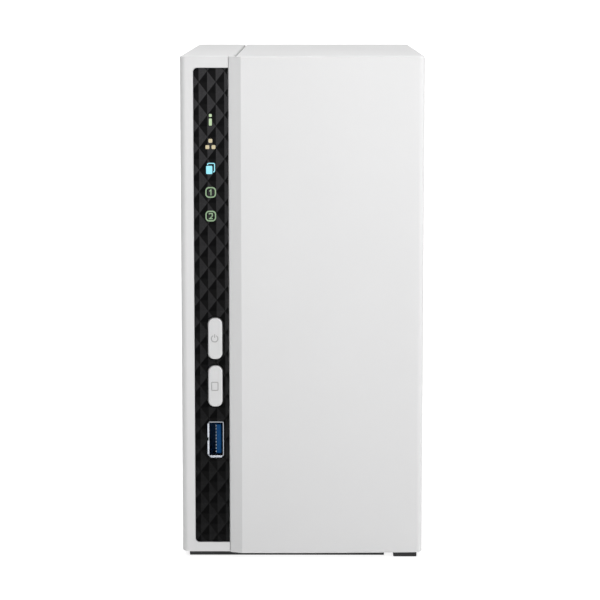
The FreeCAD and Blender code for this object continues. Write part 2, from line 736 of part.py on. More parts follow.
def rear_usb_contacts():
    strips = []
    for z in REAR_USB_Z:
        strips += usb_contacts(z, PANEL_Y - 0.2, -1, 4)
    return group(strips)


# --------------------------------------------------------------------- cover

def crown_y(x, inset):
    """Front face of the cover at x: a very shallow arc, set back by inset."""
    return FRONT + (x - CROWN_X) ** 2 / (2 * CROWN_RADIUS) + inset


def crown_edge(x0, x1, inset, z):
    middle = (x0 + x1) / 2
    return Part.Arc(Vector(x0, crown_y(x0, inset), z), Vector(middle, crown_y(middle, inset), z),
                    Vector(x1, crown_y(x1, inset), z)).toShape()


def cover_body():
    """Outer form of the cover with the chamfered lip along its left front edge."""
    z = COVER_BOTTOM_Z
    seam = SEAM_X + RUN_GAP
    lip_edge = Vector(LIP_EDGE_X, LIP_EDGE_Y, z)
    lip_back = Vector(LIP_EDGE_X, LIP_BACK_Y, z)
    chamfer_end = Vector(CHAMFER_END_X, crown_y(CHAMFER_END_X, 0), z)
    corner = Vector(RIGHT, crown_y(RIGHT, 0), z)
    rear_right = Vector(RIGHT, REAR, z)
    rear_left = Vector(seam, REAR, z)
    seam_front = Vector(seam, LIP_BACK_Y, z)
    edges = [Part.makeLine(lip_back, lip_edge),
             Part.makeLine(lip_edge, chamfer_end),
             crown_edge(CHAMFER_END_X, RIGHT, 0, z),
             Part.makeLine(corner, rear_right),
             Part.makeLine(rear_right, rear_left),
             Part.makeLine(rear_left, seam_front),
             Part.makeLine(seam_front, lip_back)]
    body = Part.Face(Part.Wire(edges)).extrude(Vector(0, 0, TOP - z))
    body = body.makeFillet(COVER_EDGE_ROUND, edges_at(body, x=RIGHT, y=crown_y(RIGHT, 0)))
    rim = []
    for edge in edges_at(body, z=TOP) + edges_at(body, z=z):
        centre = edge.CenterOfMass
        on_seam = abs(centre.x - seam) < 0.1
        on_rear = abs(centre.y - REAR) < 0.1
        on_lip = centre.x < seam and centre.y > LIP_EDGE_Y - 0.1
        if not (on_seam or on_rear or on_lip):
            rim.append(edge)
    return body.makeFillet(COVER_TOP_ROUND, rim)


def cover_hollow():
    """Space inside the cover, open to the left, to the rear and to the base plate."""
    inner_x = RIGHT - WALL
    start_x = -22.0
    z = FLOOR_Z
    edges = [Part.makeLine(Vector(-40, LIP_BACK_Y, z), Vector(start_x, LIP_BACK_Y, z)),
             Part.makeLine(Vector(start_x, LIP_BACK_Y, z), Vector(start_x, crown_y(start_x, WALL), z)),
             crown_edge(start_x, inner_x, WALL, z),
             Part.makeLine(Vector(inner_x, crown_y(inner_x, WALL), z), Vector(inner_x, REAR + 5, z)),
             Part.makeLine(Vector(inner_x, REAR + 5, z), Vector(-40, REAR + 5, z)),
             Part.makeLine(Vector(-40, REAR + 5, z), Vector(-40, LIP_BACK_Y, z))]
    hollow = Part.Face(Part.Wire(edges)).extrude(Vector(0, 0, CEILING_Z - z))
    below = box(-40, BASE_EDGE_X + RUN_GAP, BASE_FRONT_Y - RUN_GAP, REAR + 5, 0, FLOOR_Z + 1)
    return hollow.fuse(below)


def roof_hook():
    """Hook under the cover's roof that holds it down on the shell's ledge."""
    web = box(LEDGE_EDGE_X + RUN_GAP, LEDGE_EDGE_X + 1.7, -66.0, 66.0, LEDGE_Z - 1.6, CEILING_Z + 0.5)
    toe = box(LEDGE_EDGE_X - 2.6, LEDGE_EDGE_X + 1.0, -66.0, 66.0, LEDGE_Z - 1.6, LEDGE_Z - RUN_GAP)
    return [web, toe]


def base_hook():
    """Lip above the base plate's right edge."""
    web = box(BASE_EDGE_X + RUN_GAP, BASE_EDGE_X + 1.6, -66.0, 66.0, FLOOR_Z - 0.5, FLOOR_Z + 1.5)
    toe = box(BASE_EDGE_X - 2.2, BASE_EDGE_X + 1.0, -66.0, 66.0, FLOOR_Z + RUN_GAP, FLOOR_Z + 1.5)
    return [web, toe]


def thumb_lug():
    """Lug under the roof that the thumbscrew enters."""
    lug = box(THUMB_X - 3.4, RIGHT - WALL + 0.5, 66.0, 71.5, THUMB_Z - 2.5, CEILING_Z + 0.5)
    return lug


def cover_ribs():
    """Shallow stiffening ribs inside the right wall and the roof."""
    ribs = []
    inner_x = RIGHT - WALL
    for y in (-40.0, 0.0, 40.0):
        ribs.append(box(inner_x - 0.8, inner_x + 0.5, y - 0.6, y + 0.6, FLOOR_Z + 4, CEILING_Z - 6))
    return ribs


def case_cover():
    cover = cover_body().cut(cover_hollow())
    depth = COVER_CHAMFER
    seam = SEAM_X + RUN_GAP
    corner = [Vector(seam + depth, FRONT - 1, TOP + 0.001), Vector(seam - 0.001, FRONT - 1, TOP + 0.001),
              Vector(seam - 0.001, FRONT - 1, TOP - depth)]
    groove = prism(corner, Vector(0, CASE_DEPTH + 2, 0))
    cover = cover.cut(groove)
    cover = join([cover, thumb_lug()] + roof_hook() + base_hook() + cover_ribs())
    return cover.cut(rod_y(THUMB_SHANK + RUN_GAP, THUMB_X, 60.0, 75.0, THUMB_Z))


def cover_feet():
    """Two small feet under the cover's right edge."""
    feet = []
    for y0 in (-73.7, 52.0):
        foot = box(34.4, 43.2, y0, y0 + 12.0, 0, COVER_BOTTOM_Z)
        foot = foot.makeFillet(0.4, edges_at(foot, z=0))
        feet.append(foot)
    return group(feet)


def base_strips():
    """Two long anti-slip strips across the base plate."""
    strips = []
    for y0 in (-71.3, 56.0):
        strip = box(-42.7, BASE_EDGE_X, y0, y0 + 13.0, 0, FOOT_HEIGHT)
        strip = strip.makeFillet(0.4, edges_at(strip, z=0))
        strips.append(strip)
    return group(strips)


# ---------------------------------------------------------------- rear panel

def hexagon(x, z, flats, y0, y1):
    points = []
    radius = flats / math.sqrt(3)
    for corner in range(6):
        angle = math.radians(60 * corner + 30)
        points.append(Vector(x + radius * math.cos(angle), y0, z + radius * math.sin(angle)))
    return prism(points, Vector(0, y1 - y0, 0))


def grille_cuts():
    """Honeycomb of air holes in front of the fan."""
    flats = 3.5
    pitch = 4.3
    row_pitch = pitch * math.sqrt(3) / 2
    reach = FAN_BORE - 1.8
    holes = []
    for row in range(-8, 9):
        for column in range(-8, 9):
            x = column * pitch + (row % 2) * pitch / 2
            z = row * row_pitch
            if math.hypot(x, z) < reach:
                holes.append(hexagon(FAN_X + x, FAN_Z + z, flats, PANEL_BACK_Y - 1, PANEL_Y + 1))
    return holes


def panel_vents():
    """Rows of upright air slots above and below the fan."""
    slots = []
    for column in range(12):
        x = -14.0 + 4.4 * column
        for z in (48.0, 153.0):
            slots.append(plate_y(x, z, 2.2, 16.0, 1.05, PANEL_BACK_Y - 1, PANEL_Y + 1))
    return slots


def panel_port_cuts():
    """Openings for the sockets, the power inlet, the reset pin and the lock slot."""
    y0 = PANEL_BACK_Y - 1
    y1 = PANEL_Y + 1
    cuts = [plate_y(USB_X, z, USB_WIDTH + 0.5, USB_HEIGHT + 0.5, 0.5, y0, y1) for z in REAR_USB_Z]
    jack_middle = (BOARD_FACE_X + JACK_TOP_X) / 2
    jack_height = JACK_TOP_X - BOARD_FACE_X
    cuts.append(plate_y(jack_middle, JACK_Z, jack_height + 0.5, JACK_WIDTH + 0.5, 0.4, y0, y1))
    cuts.append(rod_y(4.4, DC_X, y0, y1, DC_Z))
    cuts.append(rod_y(1.1, RESET_X, y0, y1, RESET_Z))
    cuts.append(plate_y(LOCK_X, LOCK_Z, 3.2, 7.2, 0.9, y0, y1))
    cuts.append(rod_y(THUMB_SHANK + FIT_GAP, THUMB_X, y0, y1, THUMB_Z))
    for x, z in PANEL_SCREWS:
        cuts.append(rod_y(1.6, x, y0, y1, z))
    for x in (-FAN_HOLE_PITCH / 2, FAN_HOLE_PITCH / 2):
        for z in (-FAN_HOLE_PITCH / 2, FAN_HOLE_PITCH / 2):
            cuts.append(rod_y(2.0, FAN_X + x, y0, y1, FAN_Z + z))
    return cuts


def rear_panel():
    panel = box(PANEL_LEFT, PANEL_RIGHT, PANEL_BACK_Y, PANEL_Y, PANEL_BOTTOM, PANEL_TOP)
    corners = []
    for x in (PANEL_LEFT, PANEL_RIGHT):
        for z in (PANEL_BOTTOM, PANEL_TOP):
            corners += edges_at(panel, x=x, z=z)
    panel = panel.makeFillet(0.8, corners)
    flange = box(-20.0, 27.0, PANEL_BACK_Y - 10.0, PANEL_BACK_Y + 0.5, FLOOR_Z, PANEL_FLANGE_Z)
    panel = join([panel, flange])
    holes = [rod_z(1.6, x, PANEL_BACK_Y - 6, FOOT_HEIGHT, FLOOR_Z + 4) for x in PANEL_FLANGE_SCREWS_X]
    return panel.cut(group(grille_cuts() + panel_vents() + panel_port_cuts() + holes))


def panel_screws():
    screws = [screw_y(x, PANEL_Y, z, 1.2, 6.5, 2.4) for x, z in PANEL_SCREWS]
    screws += [screw_z(x, PANEL_BACK_Y - 6, PANEL_FLANGE_Z, 1.2, 2.7, 2.4) for x in PANEL_FLANGE_SCREWS_X]
    return group(screws)


def thumbscrew():
    """Captive thumbscrew with a ribbed head and a driver slot."""
    y_seat = PANEL_Y + 0.3
    y_end = REAR - 0.2
    shank = rod_y(THUMB_SHANK, THUMB_X, 66.5, y_seat + 0.5, THUMB_Z)
    head = rod_y(THUMB_HEAD, THUMB_X, y_seat, y_end, THUMB_Z)
    head = head.makeFillet(0.35, edges_at(head, y=y_end)[:1])
    ribs = 20
    cuts = []
    for index in range(ribs):
        angle = 2 * math.pi * index / ribs
        x = THUMB_X + (THUMB_HEAD + 0.15) * math.cos(angle)
        z = THUMB_Z + (THUMB_HEAD + 0.15) * math.sin(angle)
        cuts.append(rod_y(0.35, x, y_seat + 0.6, y_end + 1, z))
    cuts.append(box(THUMB_X - 0.4, THUMB_X + 0.4, y_end - 1.2, y_end + 1, THUMB_Z - 5, THUMB_Z + 5))
    return join([shank, head]).cut(group(cuts))


# --------------------------------------------------------------- rear sockets

def rj45_shell():
    """Metal shell of the network jack, open at the rear with a latch notch."""
    y1 = PANEL_Y + 0.1
    y0 = y1 - JACK_LENGTH
    skin = 0.3
    low = JACK_Z - JACK_WIDTH / 2
    high = JACK_Z + JACK_WIDTH / 2
    shell = box(BOARD_FACE_X, JACK_TOP_X, y0, y1, low, high)
    hollow = box(BOARD_FACE_X + skin, JACK_TOP_X - skin, y0 + skin, y1 + 1, low + skin, high - skin)
    return shell.cut(hollow)


def rj45_insert():
    """Plastic body of the network jack with the plug opening and latch way."""
    y1 = PANEL_Y - 0.1
    skin = 0.35
    low = JACK_Z - JACK_WIDTH / 2 + skin
    high = JACK_Z + JACK_WIDTH / 2 - skin
    body = box(BOARD_FACE_X + skin, JACK_TOP_X - skin, y1 - JACK_LENGTH + 1.0, y1, low, high)
    middle = (BOARD_FACE_X + JACK_TOP_X) / 2
    plug = box(middle - 3.5, middle + 3.4, y1 - 12.0, y1 + 1, JACK_Z - 5.9, JACK_Z + 5.9)
    latch = box(middle + 3.0, middle + 5.2, y1 - 12.0, y1 + 1, JACK_Z - 3.1, JACK_Z + 3.1)
    catch = box(middle + 5.0, middle + 6.0, y1 - 12.0, y1 + 1, JACK_Z - 1.6, JACK_Z + 1.6)
    return body.cut(plug.fuse(latch).fuse(catch))


def rj45_contacts():
    """Eight sprung contact wires inside the network jack."""
    y1 = PANEL_Y - 0.1
    middle = (BOARD_FACE_X + JACK_TOP_X) / 2
    wires = []
    for index in range(8):
        z = JACK_Z + (index - 3.5) * 1.02
        points = [Vector(middle - 3.5, y1 - 2.0, z - 0.18), Vector(middle - 3.5, y1 - 2.4, z - 0.18),
                  Vector(middle - 1.7, y1 - 11.0, z - 0.18), Vector(middle - 1.7, y1 - 10.2, z - 0.18)]
        wires.append(prism(points, Vector(0, 0, 0.36)))
    return group(wires)


def dc_jack():
    """Barrel inlet for the power adapter: square body with a round nose."""
    y1 = PANEL_Y + 0.1
    body = box(BOARD_FACE_X, BOARD_FACE_X + 11.0, y1 - 14.0, PANEL_BACK_Y - 0.2, DC_Z - 4.5, DC_Z + 4.5)
    nose = rod_y(4.2, DC_X, PANEL_BACK_Y - 1.0, y1, DC_Z)
    jack = join([body, nose])
    return jack.cut(rod_y(DC_BORE, DC_X, y1 - 10.0, y1 + 1, DC_Z))


def dc_pin():
    y1 = PANEL_Y - 0.6
    pin = rod_y(DC_PIN, DC_X, y1 - 9.3, y1, DC_Z)
    return pin.makeFillet(0.4, edges_at(pin, y=y1)[:1])


def reset_switch():
    body = box(BOARD_FACE_X, RESET_X + 3.6, 60.0, 67.0, RESET_Z - 3.6, RESET_Z + 3.6)
    return body.cut(rod_y(1.8, RESET_X, 64.0, 68.0, RESET_Z))


def reset_button():
    stem = rod_y(1.5, RESET_X, 65.1, 71.4, RESET_Z)
    return stem.makeFillet(0.4, edges_at(stem, y=71.4)[:1])


# ----------------------------------------------------------------------- fan

def fan_frame():
    """Square fan housing with a round bore, spokes and the bearing tube."""
    half = FAN_SIZE / 2
    frame = box(FAN_X - half, FAN_X + half, FAN_FRONT_Y, FAN_REAR_Y, FAN_Z - half, FAN_Z + half)
    corners = []
    for x in (FAN_X - half, FAN_X + half):
        for z in (FAN_Z - half, FAN_Z + half):
            corners += edges_at(frame, x=x, z=z)
    frame = frame.makeFillet(4.0, corners)
    frame = frame.cut(rod_y(FAN_BORE, FAN_X, FAN_FRONT_Y - 1, FAN_REAR_Y + 1, FAN_Z))
    reach = half + 1
    waist = box(FAN_X - reach, FAN_X + reach, FAN_FRONT_Y + 4, FAN_REAR_Y - 4, FAN_Z - reach, FAN_Z + reach)
    ring = rod_y(FAN_BORE + 1.2, FAN_X, FAN_FRONT_Y + 3, FAN_REAR_Y - 3, FAN_Z)
    frame = frame.cut(waist.cut(ring))
    spokes = [rod_y(FAN_HUB - 0.5, FAN_X, FAN_REAR_Y - 2.0, FAN_REAR_Y, FAN_Z)]
    for index in range(4):
        tip_x = FAN_X + FAN_BORE + 0.8
        spoke = box(FAN_X + 10, tip_x, FAN_REAR_Y - 2.6, FAN_REAR_Y - 0.2, FAN_Z - 1.4, FAN_Z + 1.4)
        spoke.rotate(Vector(FAN_X, 0, FAN_Z), Vector(0, 1, 0), 45 + 90 * index)
        spokes.append(spoke)
    tube = rod_y(3.2, FAN_X, FAN_FRONT_Y + 5.5, FAN_REAR_Y - 1.0, FAN_Z)
    frame = join([frame] + spokes + [tube])
    cuts = [rod_y(FAN_SHAFT + FIT_GAP, FAN_X, FAN_FRONT_Y, FAN_REAR_Y - 1.0, FAN_Z)]
    for x in (-FAN_HOLE_PITCH / 2, FAN_HOLE_PITCH / 2):
        for z in (-FAN_HOLE_PITCH / 2, FAN_HOLE_PITCH / 2):
            cuts.append(rod_y(2.0, FAN_X + x, FAN_FRONT_Y - 1, FAN_REAR_Y + 1, FAN_Z + z))
    return frame.cut(group(cuts))


def fan_stator():
    """Wound four-pole core round the bearing tube, on its small circuit board."""
    core_front = FAN_FRONT_Y + 6.5
    core_rear = FAN_REAR_Y - 5.0
    core = rod_y(5.0, FAN_X, core_front, core_rear, FAN_Z)
    parts = [core]
    for index in range(4):
        arm = box(FAN_X + 4.0, FAN_X + 9.5, core_front + 1.5, core_rear - 1.5, FAN_Z - 1.8, FAN_Z + 1.8)
        shoe = rod_y(11.6, FAN_X, core_front + 1.0, core_rear - 1.0, FAN_Z)
        shoe = shoe.cut(rod_y(9.2, FAN_X, core_front, core_rear, FAN_Z))
        shoe = shoe.common(box(FAN_X, FAN_X + 14, core_front, core_rear, FAN_Z - 6.0, FAN_Z + 6.0))
        for piece in (arm, shoe):
            piece.rotate(Vector(FAN_X, 0, FAN_Z), Vector(0, 1, 0), 90 * index)
            parts.append(piece)
    board = rod_y(12.0, FAN_X, FAN_REAR_Y - 3.9, FAN_REAR_Y - 2.65, FAN_Z)
    collar = rod_y(4.2, FAN_X, core_rear - 0.5, FAN_REAR_Y - 3.5, FAN_Z)
    stator = join(parts + [board, collar])
    return stator.cut(rod_y(3.2 + FIT_GAP, FAN_X, FAN_FRONT_Y, FAN_REAR_Y, FAN_Z))


def fan_blade():
    """One blade: a slanted slab trimmed to the ring between hub and tip."""
    middle_y = (FAN_FRONT_Y + FAN_REAR_Y) / 2 - 1.2
    blade = box(FAN_HUB - 1.5, FAN_TIP + 2, -10.5, 10.5, -0.65, 0.65)
    blade.rotate(Vector(0, 0, 0), Vector(1, 0, 0), 38)
    blade.translate(Vector(FAN_X, middle_y, FAN_Z))
    ring = rod_y(FAN_TIP, FAN_X, FAN_FRONT_Y + 1.5, FAN_REAR_Y - 3.6, FAN_Z)
    ring = ring.cut(rod_y(FAN_HUB - 0.8, FAN_X, FAN_FRONT_Y, FAN_REAR_Y, FAN_Z))
    return blade.common(ring)


def fan_impeller():
    """Hub cup with its blades and the shaft that runs in the bearing tube."""
    cup_front = FAN_FRONT_Y + 1.0
    cup_rear = FAN_REAR_Y - 3.6
    cup = rod_y(FAN_HUB, FAN_X, cup_front, cup_rear, FAN_Z)
    cup = cup.makeFillet(1.2, edges_at(cup, y=cup_front)[:1])
    cup = cup.cut(rod_y(FAN_HUB - 1.6, FAN_X, cup_front + 1.6, cup_rear + 1, FAN_Z))
    shaft = rod_y(FAN_SHAFT, FAN_X, cup_front + 0.8, FAN_REAR_Y - 1.6, FAN_Z)
    parts = [cup, shaft]
    for index in range(FAN_BLADES):
        blade = fan_blade()
        blade.rotate(Vector(FAN_X, 0, FAN_Z), Vector(0, 1, 0), 360.0 * index / FAN_BLADES)
        parts.append(blade)
    return join(parts)


def fan_screws():
    screws = []
    for x in (-FAN_HOLE_PITCH / 2, FAN_HOLE_PITCH / 2):
        for z in (-FAN_HOLE_PITCH / 2, FAN_HOLE_PITCH / 2):
            screws.append(screw_y(FAN_X + x, PANEL_Y, FAN_Z + z, 1.9, 8.0, 3.3))
    return group(screws)


def fan_lead():
    """Fan lead: two straight runs joined by one tangent bend, level all the way."""
    z = LEAD_START.z
    y = LEAD_START.y
    bend_start = Vector(PLUG_X + LEAD_BEND, y, z)
    bend_end = Vector(PLUG_X, y - LEAD_BEND, z)
    diagonal = LEAD_BEND * math.sqrt(0.5)
    bend_middle = Vector(PLUG_X + LEAD_BEND - diagonal, y - LEAD_BEND + diagonal, z)
    end = Vector(PLUG_X, PLUG_TOP_Y, z)
    path = Part.Wire([Part.LineSegment(LEAD_START, bend_start).toShape(),
                      Part.Arc(bend_start, bend_middle, bend_end).toShape(),
                      Part.LineSegment(bend_end, end).toShape()])
    circle = Part.Circle(LEAD_START, Vector(-1, 0, 0), LEAD_RADIUS).toShape()
    lead = path.makePipeShell([Part.Wire(circle)], True, True)
    expected = math.pi * LEAD_RADIUS ** 2 * path.Length
    print("fan lead length", round(path.Length, 2), "bend radius", LEAD_BEND)
    print("fan lead volume", round(lead.Volume, 2), "section times length", round(expected, 2))
    return lead


def fan_plug():
    """Header on the main board with the lead's plug in it."""
    z = LEAD_START.z
    header = box(BOARD_FACE_X, BOARD_FACE_X + 6.0, PLUG_TOP_Y - 9.0, PLUG_TOP_Y - 2.0, z - 4.5, z + 4.5)
    plug = box(BOARD_FACE_X + 0.9, BOARD_FACE_X + 5.2, PLUG_TOP_Y - 5.0, PLUG_TOP_Y, z - 3.6, z + 3.6)
    return join([header, plug])


# ---------------------------------------------------------------- main board

def main_board():
    board = box(BOARD_BACK_X, BOARD_FACE_X, BOARD_FRONT_Y, BOARD_REAR_Y, BOARD_BOTTOM_Z, BOARD_TOP_Z)
    corners = []
    for y in (BOARD_FRONT_Y, BOARD_REAR_Y):
        for z in (BOARD_BOTTOM_Z, BOARD_TOP_Z):
            corners += edges_at(board, y=y, z=z)
    board = board.makeFillet(2.0, corners)
    holes = [rod_x(1.6, BOARD_BACK_X - 1, BOARD_FACE_X + 1, y, z) for y, z in BOARD_SCREWS]
    return board.cut(group(holes))


def board_screws():
    return group([screw_x(BOARD_FACE_X, y, z, 1.2, 5.5, 2.7) for y, z in BOARD_SCREWS])


def on_board(y, z, width, height, thick):
    """Flat chip on the face of the main board, centred at y and z."""
    x = BOARD_FACE_X
    return box(x, x + thick, y - width / 2, y + width / 2, z - height / 2, z + height / 2)


def soc_chip():
    chip = on_board(SOC_Y, SOC_Z, 17.0, 17.0, 1.2)
    return chip.makeChamfer(0.25, edges_at(chip, x=BOARD_FACE_X + 1.2))


def thermal_pad():
    x0 = BOARD_FACE_X + 1.2
    return box(x0, x0 + 0.8, SOC_Y - 8.0, SOC_Y + 8.0, SOC_Z - 8.0, SOC_Z + 8.0)


def heatsink():
    """Finned aluminium block on the processor."""
    x0 = BOARD_FACE_X + 2.0
    block = box(x0, x0 + 2.0, SOC_Y - 18.0, SOC_Y + 18.0, SOC_Z - 18.0, SOC_Z + 18.0)
    fins = [block]
    for index in range(10):
        y = SOC_Y - 18.0 + 4.0 * index
        fins.append(box(x0 + 1.5, x0 + 9.0, max(y - 0.5, SOC_Y - 18.0), min(y + 0.5, SOC_Y + 18.0),
                        SOC_Z - 18.0, SOC_Z + 18.0))
    return join(fins)


def memory_chips():
    chips = []
    for y in (-24.0, 36.0):
        for z in (106.0, 122.0):
            chips.append(on_board(y, z, 8.0, 13.0, 1.1))
    return group(chips)


def controller_chips():
    """Storage, network, power and start-up chips on the board."""
    sizes = ((-30.0, 82.0, 12.0, 14.0, 1.0), (34.0, 62.0, 7.0, 7.0, 0.9), (-6.0, 78.0, 8.0, 5.0, 1.6),
             (-40.0, 36.0, 9.0, 9.0, 0.9), (26.0, 32.0, 6.0, 6.0, 0.9), (46.0, 142.0, 6.0, 6.0, 0.9))
    return group([on_board(y, z, width, height, thick) for y, z, width, height, thick in sizes])


def inductors():
    """Moulded power inductors beside the power inlet and the processor."""
    coils = []
    for y, z in ((44.0, 22.0), (44.0, 34.0), (-20.0, 140.0), (10.0, 148.0)):
        coil = on_board(y, z, 7.0, 7.0, 4.0)
        coils.append(coil.makeChamfer(0.8, edges_at(coil, x=BOARD_FACE_X + 4.0)))
    return group(coils)


def capacitors():
    """Round power capacitors standing out from the board."""
    cans = []
    for y, z in ((34.0, 20.0), (34.0, 42.0), (24.0, 46.0), (-34.0, 146.0), (28.0, 146.0)):
        can = rod_x(3.1, BOARD_FACE_X + 0.4, BOARD_FACE_X + 7.5, y, z)
        can = can.makeFillet(0.5, edges_at(can, x=BOARD_FACE_X + 7.5)[:1])
        foot = box(BOARD_FACE_X, BOARD_FACE_X + 0.8, y - 3.3, y + 3.3, z - 3.3, z + 3.3)
        cans.append(join([foot, can]))
    return group(cans)


def coin_cell():
    x0 = BOARD_FACE_X + 1.3
    return rod_x(10.0, x0, x0 + 3.2, CELL_Y, CELL_Z)


def cell_holder():
    """Plastic cup with two clips that hold the clock's coin cell."""
    cup = rod_x(11.4, BOARD_FACE_X, BOARD_FACE_X + 3.6, CELL_Y, CELL_Z)
    cup = cup.cut(rod_x(10.0 + FIT_GAP, BOARD_FACE_X + 1.25, BOARD_FACE_X + 5, CELL_Y, CELL_Z))
    x = BOARD_FACE_X
    for turn in (0, 180):
        finger = box(x + 4.55, x + 5.4, CELL_Y - 3, CELL_Y + 3, CELL_Z + 8.2, CELL_Z + 11.0)
        post = box(x + 1.0, x + 5.4, CELL_Y - 3, CELL_Y + 3, CELL_Z + 10.3, CELL_Z + 11.0)
        clip = join([finger, post])
        clip.rotate(Vector(x, CELL_Y, CELL_Z), Vector(1, 0, 0), turn)
        cup = join([cup, clip])
    return cup


def buzzer():
    body = rod_x(6.0, BOARD_FACE_X, BOARD_FACE_X + 6.5, -48.0, 150.0)
    body = body.makeFillet(0.6, edges_at(body, x=BOARD_FACE_X + 6.5)[:1])
    return body.cut(rod_x(1.2, BOARD_FACE_X + 3, BOARD_FACE_X + 8, -48.0, 150.0))


# ----------------------------------------------------------- drives and cage

def backplane():
    board = box(-33.4, 37.0, -60.0, 36.0, BACKPLANE_Z, BACKPLANE_Z + BACKPLANE_THICK)
    board = board.cut(box(-40, -23.0, -61.0, -36.0, 0, 20))
    board = board.cut(box(-40, -23.0, 0.0, 37.0, 0, 20))
    holes = [rod_z(1.6, x, y, 5, 20) for x, y in BACKPLANE_POSTS]
    return board.cut(group(holes))


def backplane_screws():
    seat = BACKPLANE_Z + BACKPLANE_THICK
    return group([screw_z(x, y, seat, 1.2, 6.0, 2.6) for x, y in BACKPLANE_POSTS])


def link_socket():
    """Edge socket that joins the backplane to the main board."""
    z = BACKPLANE_Z + BACKPLANE_THICK / 2
    body = box(BOARD_FACE_X, -26.5, -35.5, -0.5, z - 3.0, z + 3.2)
    slot = box(-33.4 - FIT_GAP, -26.0, -36.5, 0.5, BACKPLANE_Z - 0.03, BACKPLANE_Z + BACKPLANE_THICK + 0.03)
    ends = [box(BOARD_FACE_X, -26.5, -36.0, -36.0 + 0.5, z - 3.0, z + 3.2)]
    return body.cut(slot.cut(ends[0]))


def sata_sockets():
    """One data and power socket per drive, standing on the backplane."""
    sockets = []
    base = BACKPLANE_Z + BACKPLANE_THICK
    for x in DRIVE_X:
        y0 = DRIVE_FRONT_Y + 30.0
        body = box(x - 3.0, x + 3.0, y0, y0 + 37.5, base, DRIVE_BOTTOM_Z - 1.0)
        tongue = box(x - 0.6, x + 0.6, y0 + 2.5, y0 + 24.0, base + 2, DRIVE_BOTTOM_Z - 0.1)
        second = box(x - 0.6, x + 0.6, y0 + 26.0, y0 + 35.0, base + 2, DRIVE_BOTTOM_Z - 0.1)
        sockets.append(join([body, tongue, second]))
    return group(sockets)


def drive_body(x):
    """Cast body of a 3.5-inch drive, with screw holes in its narrow sides."""
    left = x - DRIVE_THICK / 2 + 0.9
    right = x + DRIVE_THICK / 2 - 1.7
    body = box(left, right, DRIVE_FRONT_Y, DRIVE_REAR_Y, DRIVE_BOTTOM_Z, DRIVE_TOP_Z)
    corners = []
    for y in (DRIVE_FRONT_Y, DRIVE_REAR_Y):
        for z in (DRIVE_BOTTOM_Z, DRIVE_TOP_Z):
            corners += edges_at(body, y=y, z=z)
    body = body.makeFillet(2.5, corners)
    y0 = DRIVE_FRONT_Y + 6
    y1 = DRIVE_REAR_Y - 6
    pocket = box(right - 1.0, right + 1, y0, y1, DRIVE_BOTTOM_Z + 100, DRIVE_TOP_Z - 6)
    cuts = [pocket]
    for z in DRIVE_SCREW_Z:
        cuts.append(rod_y(1.45, x, DRIVE_FRONT_Y - 1, DRIVE_FRONT_Y + 4, z))
        cuts.append(rod_y(1.45, x, DRIVE_REAR_Y - 4, DRIVE_REAR_Y + 1, z))
    return body.cut(group(cuts))


def drive_lid(x):
    """Pressed steel lid with a raised ring over the platters and its screws."""
    outer = x - DRIVE_THICK / 2
    seat = outer + 0.9
    y0 = DRIVE_FRONT_Y + 1.5
    y1 = DRIVE_REAR_Y - 1.5
    lid = box(outer + 0.3, seat, y0, y1, DRIVE_BOTTOM_Z + 2.0, DRIVE_TOP_Z - 1.5)
    middle_y = (DRIVE_FRONT_Y + DRIVE_REAR_Y) / 2
    middle_z = DRIVE_TOP_Z - 52.0
    ring = rod_x(46.0, outer, outer + 0.5, middle_y, middle_z)
    parts = [lid, ring.makeFillet(0.15, edges_at(ring, x=outer)[:1])]
    for y in (DRIVE_FRONT_Y + 6.0, DRIVE_REAR_Y - 6.0):
        for z in (DRIVE_BOTTOM_Z + 8.0, DRIVE_BOTTOM_Z + 74.0, DRIVE_TOP_Z - 7.0):
            parts.append(rod_x(2.6, outer, seat, y, z))
    return join(parts)


def drive_board(x):
    """Drive circuit board on the side away from the lid."""
    seat = x + DRIVE_THICK / 2 - 1.7
    y0 = DRIVE_FRONT_Y + 5.0
    y1 = DRIVE_REAR_Y - 5.0
    z = DRIVE_BOTTOM_Z
    board = box(seat, seat + 1.0, y0, y1, z + 1.0, z + 92.0)
    board = board.cut(box(seat - 1, seat + 2, y0 - 5, y0 + 23, z + 60, z + 100))
    chip = box(seat + 0.9, seat + 1.7, -20.0, -6.0, z + 30, z + 44)
    motor = rod_x(12.0, seat + 0.9, seat + 1.5, (y0 + y1) / 2, z + 76)
    return join([board, chip, motor])


